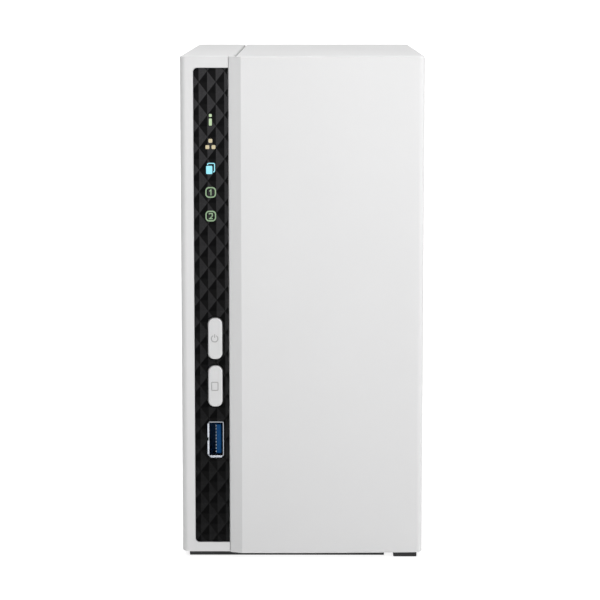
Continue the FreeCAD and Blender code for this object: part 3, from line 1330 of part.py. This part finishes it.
def drive_tray(x):
    """Plastic tray: two side rails, a top bridge and a pull handle."""
    half = DRIVE_THICK / 2 - 1.0
    left = x - half
    right = x + half
    low = DRIVE_BOTTOM_Z + 10.0
    front_y = DRIVE_FRONT_Y - TRAY_THICK
    rear_y = DRIVE_REAR_Y + TRAY_THICK
    top = DRIVE_TOP_Z
    front = box(left, right, front_y, DRIVE_FRONT_Y - FIT_GAP, low, TRAY_TOP_Z - 6.0)
    rear = box(left, right, DRIVE_REAR_Y + FIT_GAP, rear_y, low, TRAY_TOP_Z - 6.0)
    bridge = box(left, right, front_y, rear_y, top + 0.8, top + 3.0)
    grip = box(left, right, -38.0, 14.0, TRAY_TOP_Z - 2.4, TRAY_TOP_Z)
    legs = [box(left, right, y, y + 2.4, top + 2.5, TRAY_TOP_Z - 0.5) for y in (-38.0, 11.6)]
    windows = [box(left + 4, right - 4, y0, y1, top, top + 4) for y0, y1 in
               ((DRIVE_FRONT_Y + 8, -42), (-34, 8), (18, DRIVE_REAR_Y - 8))]
    tray = join([front, rear, bridge, grip] + legs).cut(group(windows))
    holes = []
    for z in DRIVE_SCREW_Z:
        holes.append(rod_y(1.7, x, DRIVE_FRONT_Y - 5, DRIVE_FRONT_Y + 1, z))
        holes.append(rod_y(1.7, x, DRIVE_REAR_Y - 1, DRIVE_REAR_Y + 5, z))
        holes.append(rod_y(3.3, x, DRIVE_FRONT_Y - 5, DRIVE_FRONT_Y - 0.7, z))
        holes.append(rod_y(3.3, x, DRIVE_REAR_Y + 0.7, DRIVE_REAR_Y + 5, z))
    return tray.cut(group(holes))


def drive_screws():
    """Low-head screws through the tray rails into both sides of each drive."""
    screws = []
    for x in DRIVE_X:
        for z in DRIVE_SCREW_Z:
            for side, seat in ((-1, DRIVE_FRONT_Y - 0.7), (1, DRIVE_REAR_Y + 0.7)):
                inner = seat - side * 3.4
                outer = seat + side * 1.0
                shank = rod_y(1.4, x, min(inner, seat), max(inner, seat), z)
                head = rod_y(3.0, x, min(seat, outer), max(seat, outer), z)
                slot = box_along(outer, outer - side * 0.6, x - 1.6, x + 1.6, z - 0.3, z + 0.3)
                screws.append(join([shank, head]).cut(slot))
    return group(screws)


def cage_windows():
    """Air windows through the cage walls."""
    side = CAGE_WINDOW
    cuts = []
    for row in range(5):
        z0 = 24.0 + 26.0 * row
        for column in range(4):
            y0 = -58.0 + 24.5 * column
            cuts.append(box(CAGE_LEFT - 1, CAGE_RIGHT + 1, y0, y0 + side, z0, z0 + side))
        for x0 in (-15.0, 16.0):
            cuts.append(box(x0, x0 + side, CAGE_FRONT_Y - 1, CAGE_REAR_Y + 1, z0, z0 + side))
    return cuts


def cage_foot(wall_y, tip_y):
    """Angle under an end wall: a strip down to the floor and a flange that is screwed to it."""
    sheet = CAGE_SHEET
    x0 = CAGE_LEFT + 2
    inner_y = wall_y + math.copysign(sheet, wall_y - tip_y)
    strip = box(x0, CAGE_FOOT_END_X, min(wall_y, inner_y), max(wall_y, inner_y), FLOOR_Z, CAGE_WALL_Z)
    flange = box(x0, CAGE_FOOT_END_X, min(wall_y, tip_y), max(wall_y, tip_y), FLOOR_Z, FLOOR_Z + sheet)
    holes = [rod_z(1.6, x, y, FLOOR_Z - 1, FLOOR_Z + 3) for x, y in CAGE_FEET]
    return join([strip, flange]).cut(group(holes))


def drive_cage():
    """Sheet steel cage: two side walls, a divider and two end walls, each a flat sheet, and two feet."""
    y0 = CAGE_FRONT_Y
    y1 = CAGE_REAR_Y
    sheet = CAGE_SHEET
    divider = sum(DRIVE_X) / 2 - sheet / 2
    inner = (y0 + sheet, y1 - sheet)
    walls = [box(CAGE_LEFT, CAGE_LEFT + sheet, *inner, CAGE_WALL_Z, CAGE_TOP_Z),
             box(CAGE_RIGHT - sheet, CAGE_RIGHT, *inner, CAGE_WALL_Z, CAGE_TOP_Z),
             box(divider, divider + sheet, *inner, CAGE_WALL_Z + 2, CAGE_TOP_Z - 4),
             box(CAGE_LEFT, CAGE_RIGHT, y0, y0 + sheet, CAGE_WALL_Z, CAGE_TOP_Z),
             box(CAGE_LEFT, CAGE_RIGHT, y1 - sheet, y1, CAGE_WALL_Z, CAGE_TOP_Z)]
    windows = group(cage_windows())
    feet = [cage_foot(y0, y0 - CAGE_FLANGE), cage_foot(y1, y1 + CAGE_FLANGE)]
    return group([wall.cut(windows) for wall in walls] + feet)


def cage_screws():
    return group([screw_z(x, y, FLOOR_Z + CAGE_SHEET, 1.2, 2.6, 2.5) for x, y in CAGE_FEET])


# ---------------------------------------------------------------------- build

def all_nodes():
    nodes = {
        "left_shell": left_shell(),
        "front_strip": front_strip(),
        "status_light_pipe": light_pipe(status_symbol, STATUS_Z),
        "network_light_pipe": light_pipe(network_symbol, NETWORK_Z),
        "usb_copy_light_pipe": light_pipe(copy_symbol, COPY_LIGHT_Z),
        "drive_1_light_pipe": light_pipe(drive_one_symbol, DRIVE_ONE_Z),
        "drive_2_light_pipe": light_pipe(drive_two_symbol, DRIVE_TWO_Z),
        "front_lamps": front_lamps(),
        "power_button": button(POWER_BUTTON_Z, power_symbol(POWER_BUTTON_Z)),
        "copy_button": button(COPY_BUTTON_Z, square_symbol(COPY_BUTTON_Z)),
        "tact_switches": tact_switches(),
        "front_usb_shell": front_usb_shell(),
        "front_usb_insert": usb_insert(FRONT_USB_Z, FRONT_USB_MOUTH_Y, 1),
        "front_usb_contacts": group(usb_contacts(FRONT_USB_Z, FRONT_USB_MOUTH_Y, 1, 9)),
        "base_strips": base_strips(),
        "case_cover": case_cover(),
        "cover_feet": cover_feet(),
        "rear_panel": rear_panel(),
        "panel_screws": panel_screws(),
        "thumbscrew": thumbscrew(),
        "rear_usb_shells": rear_usb_shells(),
        "rear_usb_inserts": rear_usb_inserts(),
        "rear_usb_contacts": rear_usb_contacts(),
        "rj45_shell": rj45_shell(),
        "rj45_insert": rj45_insert(),
        "rj45_contacts": rj45_contacts(),
        "dc_jack": dc_jack(),
        "dc_pin": dc_pin(),
        "reset_switch": reset_switch(),
        "reset_button": reset_button(),
        "fan_frame": fan_frame(),
        "fan_stator": fan_stator(),
        "fan_impeller": fan_impeller(),
        "fan_screws": fan_screws(),
        "fan_lead": fan_lead(),
        "fan_plug": fan_plug(),
        "main_board": main_board(),
        "board_screws": board_screws(),
        "soc_chip": soc_chip(),
        "thermal_pad": thermal_pad(),
        "heatsink": heatsink(),
        "memory_chips": memory_chips(),
        "controller_chips": controller_chips(),
        "inductors": inductors(),
        "capacitors": capacitors(),
        "coin_cell": coin_cell(),
        "cell_holder": cell_holder(),
        "buzzer": buzzer(),
        "backplane": backplane(),
        "backplane_screws": backplane_screws(),
        "link_socket": link_socket(),
        "sata_sockets": sata_sockets(),
        "drive_cage": drive_cage(),
        "cage_screws": cage_screws(),
        "drive_screws": drive_screws(),
    }
    for index, x in enumerate(DRIVE_X):
        number = str(index + 1)
        nodes["drive_" + number + "_body"] = drive_body(x)
        nodes["drive_" + number + "_lid_and_board"] = group([drive_lid(x), drive_board(x)])
    return nodes


def main():
    os.makedirs("parts", exist_ok=True)
    nodes = all_nodes()
    nodes["drive_trays"] = group([drive_tray(x) for x in DRIVE_X])
    for name, shape in nodes.items():
        if not shape.isValid():
            print("invalid shape", name)
        shape.exportStep("parts/" + name + ".step")
        print(name, len(shape.Solids), "solids", round(shape.Volume, 1), "mm3")
    whole = Part.makeCompound(list(nodes.values())).BoundBox
    print("nodes", len(nodes))
    print("size", round(whole.XLength, 2), round(whole.YLength, 2), round(whole.ZLength, 2))


main()
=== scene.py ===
import bpy
import json
import math
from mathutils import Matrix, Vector

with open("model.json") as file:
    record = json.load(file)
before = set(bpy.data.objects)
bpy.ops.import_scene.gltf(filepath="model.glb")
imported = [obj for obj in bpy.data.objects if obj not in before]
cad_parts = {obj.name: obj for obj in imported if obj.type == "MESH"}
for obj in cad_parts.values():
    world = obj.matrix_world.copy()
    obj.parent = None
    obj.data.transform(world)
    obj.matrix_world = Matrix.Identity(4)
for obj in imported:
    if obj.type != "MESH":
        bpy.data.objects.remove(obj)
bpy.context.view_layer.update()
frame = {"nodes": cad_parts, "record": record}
NODES = frame["nodes"]

MM = 0.001

# Camera: a long lens in front of the unit, a little above its top and tipped down
CAMERA_PLACE = Vector((0.00225, -0.9640, 0.2170))
CAMERA_TIP = math.radians(7.616)
CAMERA_TURN = math.radians(0.2012)
CAMERA_LENS = 144.43
CAMERA_SENSOR = 36.0

# Studio: a glowing floor, broad soft lamps (direction, strength) and two softboxes
FLOOR_HALF = 60.0
FLOOR_GLOW = 0.8
FLOOR_TONE = 0.4
WORLD_GLOW = 0.01
LAMP_ANGLE = math.radians(50)
BACK_LAMP = ((0.0, -0.7, -1.0), 2.54)
FRONT_LAMP = ((0.0, 0.35, -1.0), 1.06)

# Softboxes: place, target, size, energy and spread in degrees
FRONT_CENTRE = (0.0, -0.08, 0.12)
STRIP_SOFTBOX = ((0.07, -0.30, 0.33), FRONT_CENTRE, (0.36, 0.1), 0.153, 100)
RIGHT_SOFTBOX = ((0.6, -0.5, 0.25), FRONT_CENTRE, (0.4, 0.5), 2.23, 180)

# Sockets of a colour mix node, which share their names with those of its other types
MIX_FIRST = 6
MIX_SECOND = 7
MIX_RESULT = 2

# Where one noise value mostly lies, and where the product of two mostly lies
NOISE_LOW = 0.3
NOISE_HIGH = 0.7
PRODUCT_RANGE = (0.12, 0.4)

# Front strip: painted highlight and painted shade on its facets, and button paint
STRIP_SHEEN = 0.07
# Painted light: the right-facing facet tones are painted highlights and the left-facing ones painted
# shade, both paler towards the top between the two fade heights
STRIP_PAINTED_SHADE_LOW = (0.0006, 0.0006, 0.0007)
STRIP_PAINTED_SHADE_HIGH = (0.0035, 0.0035, 0.0038)
STRIP_PAINTED_LIT_LOW = (0.0065, 0.0065, 0.0068)
STRIP_PAINTED_LIT_HIGH = (0.027, 0.0265, 0.028)
STRIP_PAINTED_FADE_BOTTOM = 50.0 * MM
STRIP_PAINTED_FADE_TOP = 175.0 * MM
BUTTON_FACE_Y = -76.95 * MM
PAINT_START_Y = BUTTON_FACE_Y + 0.08 * MM
PAINT_FULL_Y = BUTTON_FACE_Y + 0.11 * MM
SYMBOL_CENTRES = ((-0.0327, 0.0, 0.0838), (-0.0327, 0.0, 0.06582))
SYMBOL_REACH = (0.00155, 1.0, 0.00195)
BUTTON_PAINT = (0.36, 0.36, 0.36)


# ------------------------------------------------------------------ materials

class Nodes:
    """Small helper that adds and links shader nodes in one material."""

    def __init__(self, name, material=None):
        self.material = material or bpy.data.materials.new(name)
        self.material.use_nodes = True
        self.tree = self.material.node_tree
        self.shader = self.tree.nodes["Principled BSDF"]
        self.coordinates = self.add("ShaderNodeTexCoord").outputs["Object"]

    def add(self, kind, **settings):
        node = self.tree.nodes.new(kind)
        for key, value in settings.items():
            setattr(node, key, value)
        return node

    def link(self, source, target):
        self.tree.links.new(source, target)

    def set(self, **values):
        for key, value in values.items():
            self.shader.inputs[key.replace("_", " ")].default_value = value

    def scaled(self, scale):
        """Object coordinates stretched by a scale for each axis."""
        mapping = self.add("ShaderNodeMapping")
        mapping.inputs["Scale"].default_value = scale
        self.link(self.coordinates, mapping.inputs["Vector"])
        return mapping.outputs["Vector"]

    def noise(self, scale, detail=3.0, roughness=0.5, stretch=None):
        texture = self.add("ShaderNodeTexNoise")
        texture.inputs["Scale"].default_value = scale
        texture.inputs["Detail"].default_value = detail
        texture.inputs["Roughness"].default_value = roughness
        self.link(self.scaled(stretch) if stretch else self.coordinates, texture.inputs["Vector"])
        return texture.outputs["Fac"]

    def cells(self, scale, stretch=None):
        texture = self.add("ShaderNodeTexVoronoi")
        texture.inputs["Scale"].default_value = scale
        self.link(self.scaled(stretch) if stretch else self.coordinates, texture.inputs["Vector"])
        return texture.outputs["Distance"]

    def remap(self, value, low, high, from_low=NOISE_LOW, from_high=NOISE_HIGH):
        """Map a texture value onto a range of numbers."""
        node = self.add("ShaderNodeMapRange")
        node.inputs["From Min"].default_value = from_low
        node.inputs["From Max"].default_value = from_high
        node.inputs["To Min"].default_value = low
        node.inputs["To Max"].default_value = high
        self.link(value, node.inputs["Value"])
        return node.outputs["Result"]

    def ramp(self, value, *stops):
        """Colour ramp through (position, colour) stops."""
        node = self.add("ShaderNodeValToRGB")
        elements = node.color_ramp.elements
        while len(elements) < len(stops):
            elements.new(0.5)
        for element, (position, colour) in zip(elements, stops):
            element.position = position
            element.color = (*colour, 1.0)
        self.link(value, node.inputs["Fac"])
        return node.outputs["Color"]

    def mix(self, factor, first, second, blend="MIX"):
        """Blend two colour outputs by a factor output."""
        node = self.add("ShaderNodeMix", data_type="RGBA", blend_type=blend)
        self.link(factor, node.inputs["Factor"])
        self.link(first, node.inputs[MIX_FIRST])
        self.link(second, node.inputs[MIX_SECOND])
        return node.outputs[MIX_RESULT]

    def sum(self, first, second, operation="ADD"):
        node = self.add("ShaderNodeMath", operation=operation)
        self.link(first, node.inputs[0])
        self.link(second, node.inputs[1])
        return node.outputs[0]

    def beside(self, centre, reach):
        """Larger of the sideways and upward distances from a centre, each over its own reach."""
        offset = self.coordinates
        for operation, value in (("SUBTRACT", centre), ("DIVIDE", reach), ("ABSOLUTE", None)):
            step = self.add("ShaderNodeVectorMath", operation=operation)
            self.link(offset, step.inputs[0])
            if value:
                step.inputs[1].default_value = value
            offset = step.outputs["Vector"]
        parts = self.add("ShaderNodeSeparateXYZ")
        self.link(offset, parts.inputs["Vector"])
        return self.sum(parts.outputs["X"], parts.outputs["Z"], "MAXIMUM")

    def colour(self, output):
        self.link(output, self.shader.inputs["Base Color"])

    def rough(self, output):
        self.link(output, self.shader.inputs["Roughness"])

    def bump(self, height, strength, distance):
        node = self.add("ShaderNodeBump")
        node.inputs["Strength"].default_value = strength
        node.inputs["Distance"].default_value = distance
        self.link(height, node.inputs["Height"])
        self.link(node.outputs["Normal"], self.shader.inputs["Normal"])


def shade(colour, factor):
    return tuple(min(channel * factor, 1.0) for channel in colour)


def moulded_plastic(name, colour, roughness, grain=1800.0, relief=0.25, mottle=0.03, sheen=0.45):
    """Fine spark-eroded moulding texture with a faint mottle and uneven gloss."""
    nodes = Nodes(name)
    nodes.set(Specular_IOR_Level=sheen)
    cloud = nodes.noise(38.0, detail=5.0, roughness=0.6)
    dark = shade(colour, 1 - mottle)
    pale = shade(colour, 1 + mottle)
    nodes.colour(nodes.ramp(cloud, (NOISE_LOW, dark), (NOISE_HIGH, pale)))
    fine = nodes.noise(grain, detail=2.0, roughness=0.65)
    both = nodes.sum(fine, cloud, "MULTIPLY")
    nodes.rough(nodes.remap(both, roughness - 0.05, roughness + 0.06, 0.1, 0.4))
    nodes.bump(nodes.sum(fine, nodes.cells(grain * 0.7)), relief, 0.00006)
    return nodes.material


def faceted_black(name):
    """Satin black moulding with painted light: right-facing facets carry a painted highlight and are
    paler than the left-facing ones in painted shade, most near the top.
    """
    nodes = Nodes(name)
    nodes.set(Specular_IOR_Level=STRIP_SHEEN, Coat_Weight=0.0)
    facing = nodes.add("ShaderNodeSeparateXYZ")
    nodes.link(nodes.add("ShaderNodeTexCoord").outputs["Normal"], facing.inputs["Vector"])
    place = nodes.add("ShaderNodeSeparateXYZ")
    nodes.link(nodes.coordinates, place.inputs["Vector"])
    # Painted light: the facet tones grow paler towards the top of the strip
    height = nodes.remap(place.outputs["Z"], 0.0, 1.0, STRIP_PAINTED_FADE_BOTTOM, STRIP_PAINTED_FADE_TOP)
    # Painted light: right-facing facets take the painted highlight tone, left-facing ones the painted
    # shade tone
    painted_lit_side = nodes.remap(facing.outputs["X"], 0.0, 1.0, -0.06, 0.06)
    dust = nodes.noise(2600.0, detail=1.0, roughness=0.4)
    painted_light_tones = []
    for low, high in ((STRIP_PAINTED_SHADE_LOW, STRIP_PAINTED_SHADE_HIGH), (STRIP_PAINTED_LIT_LOW, STRIP_PAINTED_LIT_HIGH)):
        below = nodes.ramp(dust, (0.45, low), (0.78, shade(low, 1.6)))
        above = nodes.ramp(dust, (0.45, high), (0.78, shade(high, 1.3)))
        painted_light_tones.append(nodes.mix(height, below, above))
    nodes.colour(nodes.mix(painted_lit_side, *painted_light_tones))
    flow = nodes.noise(60.0, detail=6.0, stretch=(1.0, 1.0, 0.35))
    nodes.rough(nodes.remap(nodes.sum(flow, dust, "MULTIPLY"), 0.34, 0.44, *PRODUCT_RANGE))
    nodes.bump(nodes.noise(900.0, detail=3.0), 0.05, 0.00003)
    return nodes.material


def button_plastic(name, colour):
    """Satin white cap with grey paint in the engraved symbol of each button."""
    material = moulded_plastic(name, colour, 0.42, grain=2600.0, relief=0.12, mottle=0.012)
    nodes = Nodes(name, material)
    plain = nodes.shader.inputs["Base Color"].links[0].from_socket
    place = nodes.add("ShaderNodeSeparateXYZ")
    nodes.link(nodes.coordinates, place.inputs["Vector"])
    sunk = nodes.remap(place.outputs["Y"], 0.0, 1.0, PAINT_START_Y, PAINT_FULL_Y)
    for centre in SYMBOL_CENTRES:
        near = nodes.remap(nodes.beside(centre, SYMBOL_REACH), 1.0, 0.0, 1.0, 1.02)
        thin = shade(BUTTON_PAINT, 0.92)
        speckle = nodes.ramp(nodes.noise(1500.0), (NOISE_LOW, thin), (NOISE_HIGH, BUTTON_PAINT))
        plain = nodes.mix(nodes.sum(sunk, near, "MULTIPLY"), plain, speckle)
    nodes.colour(plain)
    return material


def rubber(name, colour):
    nodes = Nodes(name)
    nodes.set(Specular_IOR_Level=0.3)
    cloud = nodes.noise(90.0, detail=6.0, roughness=0.65)
    nodes.colour(nodes.ramp(cloud, (NOISE_LOW, shade(colour, 0.75)), (0.72, shade(colour, 1.35))))
    nodes.rough(nodes.remap(cloud, 0.72, 0.9))
    nodes.bump(nodes.sum(nodes.noise(1500.0), nodes.cells(900.0)), 0.5, 0.00012)
    return nodes.material


def plated_metal(name, colour, roughness, stretch=(1.0, 1.0, 1.0)):
    """Bright plating with handling haze and fine scratches."""
    nodes = Nodes(name)
    nodes.set(Metallic=1.0)
    haze = nodes.noise(140.0, detail=5.0, roughness=0.6)
    scratch = nodes.noise(900.0, detail=4.0, roughness=0.7, stretch=stretch)
    nodes.colour(nodes.ramp(haze, (NOISE_LOW, shade(colour, 0.9)), (NOISE_HIGH, shade(colour, 1.06))))
    both = nodes.sum(haze, scratch, "MULTIPLY")
    nodes.rough(nodes.remap(both, roughness - 0.06, roughness + 0.1, *PRODUCT_RANGE))
    nodes.bump(scratch, 0.12, 0.00003)
    return nodes.material


def zinc_sheet(name):
    """Zinc-plated sheet: faint crystal spangle, rolling grain and dull patches."""
    nodes = Nodes(name)
    nodes.set(Metallic=0.92)
    spangle = nodes.cells(260.0)
    rolling = nodes.noise(700.0, detail=4.0, stretch=(1.0, 1.0, 0.05))
    cloud = nodes.noise(45.0, detail=6.0)
    base = nodes.ramp(spangle, (0.0, (0.5, 0.51, 0.53)), (1.0, (0.66, 0.67, 0.68)))
    dull = nodes.ramp(cloud, (0.35, (0.52, 0.53, 0.545)), (0.7, (0.68, 0.685, 0.69)))
    nodes.colour(nodes.mix(cloud, base, dull))
    nodes.rough(nodes.remap(nodes.sum(rolling, cloud, "MULTIPLY"), 0.3, 0.48, *PRODUCT_RANGE))
    nodes.bump(rolling, 0.15, 0.00005)
    return nodes.material


def cast_metal(name, colour):
    nodes = Nodes(name)
    nodes.set(Metallic=0.85)
    grain = nodes.noise(800.0, detail=6.0, roughness=0.75)
    cloud = nodes.noise(50.0, detail=4.0)
    nodes.colour(nodes.ramp(grain, (NOISE_LOW, shade(colour, 0.8)), (NOISE_HIGH, shade(colour, 1.1))))
    nodes.rough(nodes.remap(cloud, 0.42, 0.58))
    nodes.bump(nodes.sum(grain, nodes.cells(500.0)), 0.4, 0.0001)
    return nodes.material


def circuit_board(name):
    """Green solder mask over copper tracks, with pads in rows."""
    nodes = Nodes(name)
    nodes.set(Specular_IOR_Level=0.5, Coat_Weight=0.4, Coat_Roughness=0.2)
    tracks = nodes.add("ShaderNodeTexBrick", offset=0.5)
    tracks.inputs["Scale"].default_value = 260.0
    tracks.inputs["Color1"].default_value = (0.012, 0.105, 0.045, 1)
    tracks.inputs["Color2"].default_value = (0.018, 0.15, 0.06, 1)
    tracks.inputs["Mortar"].default_value = (0.008, 0.07, 0.03, 1)
    tracks.inputs["Mortar Size"].default_value = 0.03
    turned = nodes.add("ShaderNodeMapping")
    turned.inputs["Rotation"].default_value = (0.0, math.radians(90), math.radians(90))
    nodes.link(nodes.coordinates, turned.inputs["Vector"])
    nodes.link(turned.outputs["Vector"], tracks.inputs["Vector"])
    pads = nodes.remap(nodes.cells(420.0), 1.0, 0.0, 0.16, 0.2)
    copper = nodes.ramp(nodes.noise(300.0), (0.3, (0.55, 0.42, 0.18)), (0.7, (0.72, 0.56, 0.26)))
    nodes.colour(nodes.mix(pads, tracks.outputs["Color"], copper))
    nodes.rough(nodes.remap(nodes.noise(120.0), 0.25, 0.42))
    nodes.bump(tracks.outputs["Fac"], 0.2, 0.00005)
    return nodes.material


def lit_symbol(name, colour, core):
    """Backlit smoked plastic, lit softly and a little unevenly from behind."""
    nodes = Nodes(name)
    nodes.set(Roughness=0.45, Emission_Strength=1.0, Specular_IOR_Level=0.1)
    glow = nodes.noise(1300.0, detail=2.0)
    light = nodes.ramp(glow, (NOISE_LOW, colour), (NOISE_HIGH, core))
    nodes.link(light, nodes.shader.inputs["Emission Color"])
    nodes.colour(nodes.ramp(glow, (NOISE_LOW, shade(colour, 0.03)), (NOISE_HIGH, shade(core, 0.05))))
    nodes.bump(glow, 0.1, 0.00003)
    return nodes.material


def clear_plastic(name):
    nodes = Nodes(name)
    nodes.set(Transmission_Weight=0.6, IOR=1.49)
    cloud = nodes.noise(400.0, detail=3.0)
    nodes.colour(nodes.ramp(cloud, (0.3, (0.82, 0.82, 0.78)), (0.7, (0.95, 0.95, 0.9))))
    nodes.rough(nodes.remap(cloud, 0.1, 0.25))
    return nodes.material


def copper_wire(name):
    """Enamelled windings: fine bands of copper wire."""
    nodes = Nodes(name)
    nodes.set(Metallic=0.8)
    wave = nodes.add("ShaderNodeTexWave", wave_type="BANDS", bands_direction="Y")
    wave.inputs["Scale"].default_value = 1400.0
    wave.inputs["Distortion"].default_value = 1.5
    nodes.link(nodes.coordinates, wave.inputs["Vector"])
    nodes.colour(nodes.ramp(wave.outputs["Fac"], (0.2, (0.22, 0.07, 0.02)), (0.8, (0.62, 0.27, 0.1))))
    nodes.rough(nodes.remap(wave.outputs["Fac"], 0.25, 0.45))
    nodes.bump(wave.outputs["Fac"], 0.6, 0.0001)
    return nodes.material


def make_materials():
    white = (0.634, 0.634, 0.636)
    return {
        "white_plastic": moulded_plastic(
            "white_plastic", white, 0.48, grain=2200.0, relief=0.16, mottle=0.008),
        "button_plastic": button_plastic("button_plastic", (0.585, 0.585, 0.588)),
        "black_gloss_plastic": faceted_black("black_gloss_plastic"),
        "dark_rubber": rubber("dark_rubber", (0.035, 0.035, 0.036)),
        "plated_steel": plated_metal("plated_steel", (0.4, 0.42, 0.46), 0.26),
        "usb_blue_plastic": moulded_plastic(
            "usb_blue_plastic", (0.003, 0.043, 0.136), 0.4, relief=0.1, mottle=0.08, sheen=0.08),
        "contact_metal": plated_metal("contact_metal", (0.5, 0.55, 0.62), 0.24),
        "zinc_plated_sheet": zinc_sheet("zinc_plated_sheet"),
        "screw_steel": plated_metal("screw_steel", (0.6, 0.6, 0.61), 0.28),
        "black_screw_steel": plated_metal("black_screw_steel", (0.035, 0.035, 0.037), 0.42),
        "black_insert_plastic": moulded_plastic(
            "black_insert_plastic", (0.014, 0.014, 0.015), 0.45, mottle=0.15),
        "dark_plastic": moulded_plastic("dark_plastic", (0.03, 0.03, 0.032), 0.5, mottle=0.15),
        "fan_plastic": moulded_plastic("fan_plastic", (0.022, 0.022, 0.024), 0.42, mottle=0.12),
        "copper_windings": copper_wire("copper_windings"),
        "lead_sleeve": rubber("lead_sleeve", (0.02, 0.02, 0.02)),
        "connector_plastic": moulded_plastic("connector_plastic", (0.72, 0.68, 0.57), 0.5, mottle=0.06),
        "green_board": circuit_board("green_board"),
        "chip_epoxy": moulded_plastic(
            "chip_epoxy", (0.018, 0.018, 0.02), 0.6, grain=3000.0, relief=0.4, mottle=0.15),
        "grey_pad": rubber("grey_pad", (0.3, 0.3, 0.33)),
        "anodised_aluminium": plated_metal(
            "anodised_aluminium", (0.58, 0.59, 0.61), 0.36, stretch=(1.0, 1.0, 0.04)),
        "ferrite": moulded_plastic("ferrite", (0.06, 0.06, 0.065), 0.62, relief=0.5, mottle=0.2),
        "capacitor_can": plated_metal("capacitor_can", (0.7, 0.71, 0.73), 0.26),
        "cast_aluminium": cast_metal("cast_aluminium", (0.5, 0.5, 0.52)),
        "drive_lid_steel": plated_metal(
            "drive_lid_steel", (0.62, 0.63, 0.65), 0.3, stretch=(1.0, 0.05, 1.0)),
        "tray_plastic": moulded_plastic("tray_plastic", (0.05, 0.05, 0.055), 0.5, mottle=0.1),
        "lamp_plastic": clear_plastic("lamp_plastic"),
        "green_light": lit_symbol("green_light", (0.46, 0.65, 0.345), (0.58, 0.71, 0.49)),
        "green_ring_light": lit_symbol("green_ring_light", (0.27, 0.405, 0.25), (0.32, 0.45, 0.28)),
        "amber_light": lit_symbol("amber_light", (0.6, 0.52, 0.31), (0.67, 0.58, 0.42)),
        "blue_light": lit_symbol("blue_light", (0.3, 0.83, 0.96), (0.4, 0.89, 1.0)),
    }


def finish_nodes(materials):
    """Give every CAD node the material of its slot in the record."""
    slots = {entry["node"]: entry["material_slot"] for entry in frame["record"]["subparts"]}
    for name, piece in NODES.items():
        piece.data.materials.clear()
        piece.data.materials.append(materials[slots[name]])


# ---------------------------------------------------------------------- stage

def studio_floor():
    """Large plain pale floor."""
    half = FLOOR_HALF
    mesh = bpy.data.meshes.new("studio_floor")
    corners = [(-half, -half, 0), (half, -half, 0), (half, half, 0), (-half, half, 0)]
    mesh.from_pydata(corners, [], [(0, 1, 2, 3)])
    floor = bpy.data.objects.new("studio_floor", mesh)
    bpy.context.scene.collection.objects.link(floor)
    nodes = Nodes("studio_floor")
    nodes.set(Roughness=0.95, Specular_IOR_Level=0.0, Emission_Strength=FLOOR_GLOW)
    nodes.shader.inputs["Emission Color"].default_value = (1.0, 1.0, 1.0, 1.0)
    cloud = nodes.noise(3.0)
    nodes.colour(nodes.ramp(cloud, (0.3, (FLOOR_TONE,) * 3), (0.7, (FLOOR_TONE * 1.03,) * 3)))
    floor.data.materials.append(nodes.material)


def studio_world():
    """Faint even light from the room."""
    world = bpy.data.worlds.new("studio")
    bpy.context.scene.world = world
    world.use_nodes = True
    background = world.node_tree.nodes["Background"]
    background.inputs["Color"].default_value = (1.0, 1.0, 1.0, 1.0)
    background.inputs["Strength"].default_value = WORLD_GLOW


def soft_lamp(name, direction, strength):
    """Very broad distant lamp."""
    data = bpy.data.lights.new(name, "SUN")
    data.energy = strength
    data.angle = LAMP_ANGLE
    lamp = bpy.data.objects.new(name, data)
    lamp.rotation_euler = Vector(direction).to_track_quat("-Z", "Y").to_euler()
    bpy.context.scene.collection.objects.link(lamp)


def softbox(name, place, target, size, energy, spread):
    data = bpy.data.lights.new(name, "AREA")
    data.shape = "RECTANGLE"
    data.size = size[0]
    data.size_y = size[1]
    data.energy = energy
    data.spread = math.radians(spread)
    light = bpy.data.objects.new(name, data)
    light.location = place
    light.rotation_euler = (Vector(target) - Vector(place)).to_track_quat("-Z", "Y").to_euler()
    bpy.context.scene.collection.objects.link(light)


def lights():
    """Broad lamps behind and overhead, a strip softbox above the front and a large one on the right."""
    soft_lamp("back_lamp", *BACK_LAMP)
    soft_lamp("front_lamp", *FRONT_LAMP)
    softbox("strip_softbox", *STRIP_SOFTBOX)
    softbox("right_softbox", *RIGHT_SOFTBOX)
    bpy.context.scene.view_settings.view_transform = "Standard"


def camera():
    data = bpy.data.cameras.new("camera")
    data.sensor_width = CAMERA_SENSOR
    data.lens = CAMERA_LENS
    data.clip_start = 0.01
    seen = bpy.data.objects.new("camera", data)
    seen.location = CAMERA_PLACE
    seen.rotation_euler = (math.pi / 2 - CAMERA_TIP, 0.0, CAMERA_TURN)
    bpy.context.scene.collection.objects.link(seen)
    bpy.context.scene.camera = seen


finish_nodes(make_materials())
studio_floor()
studio_world()
lights()
camera()
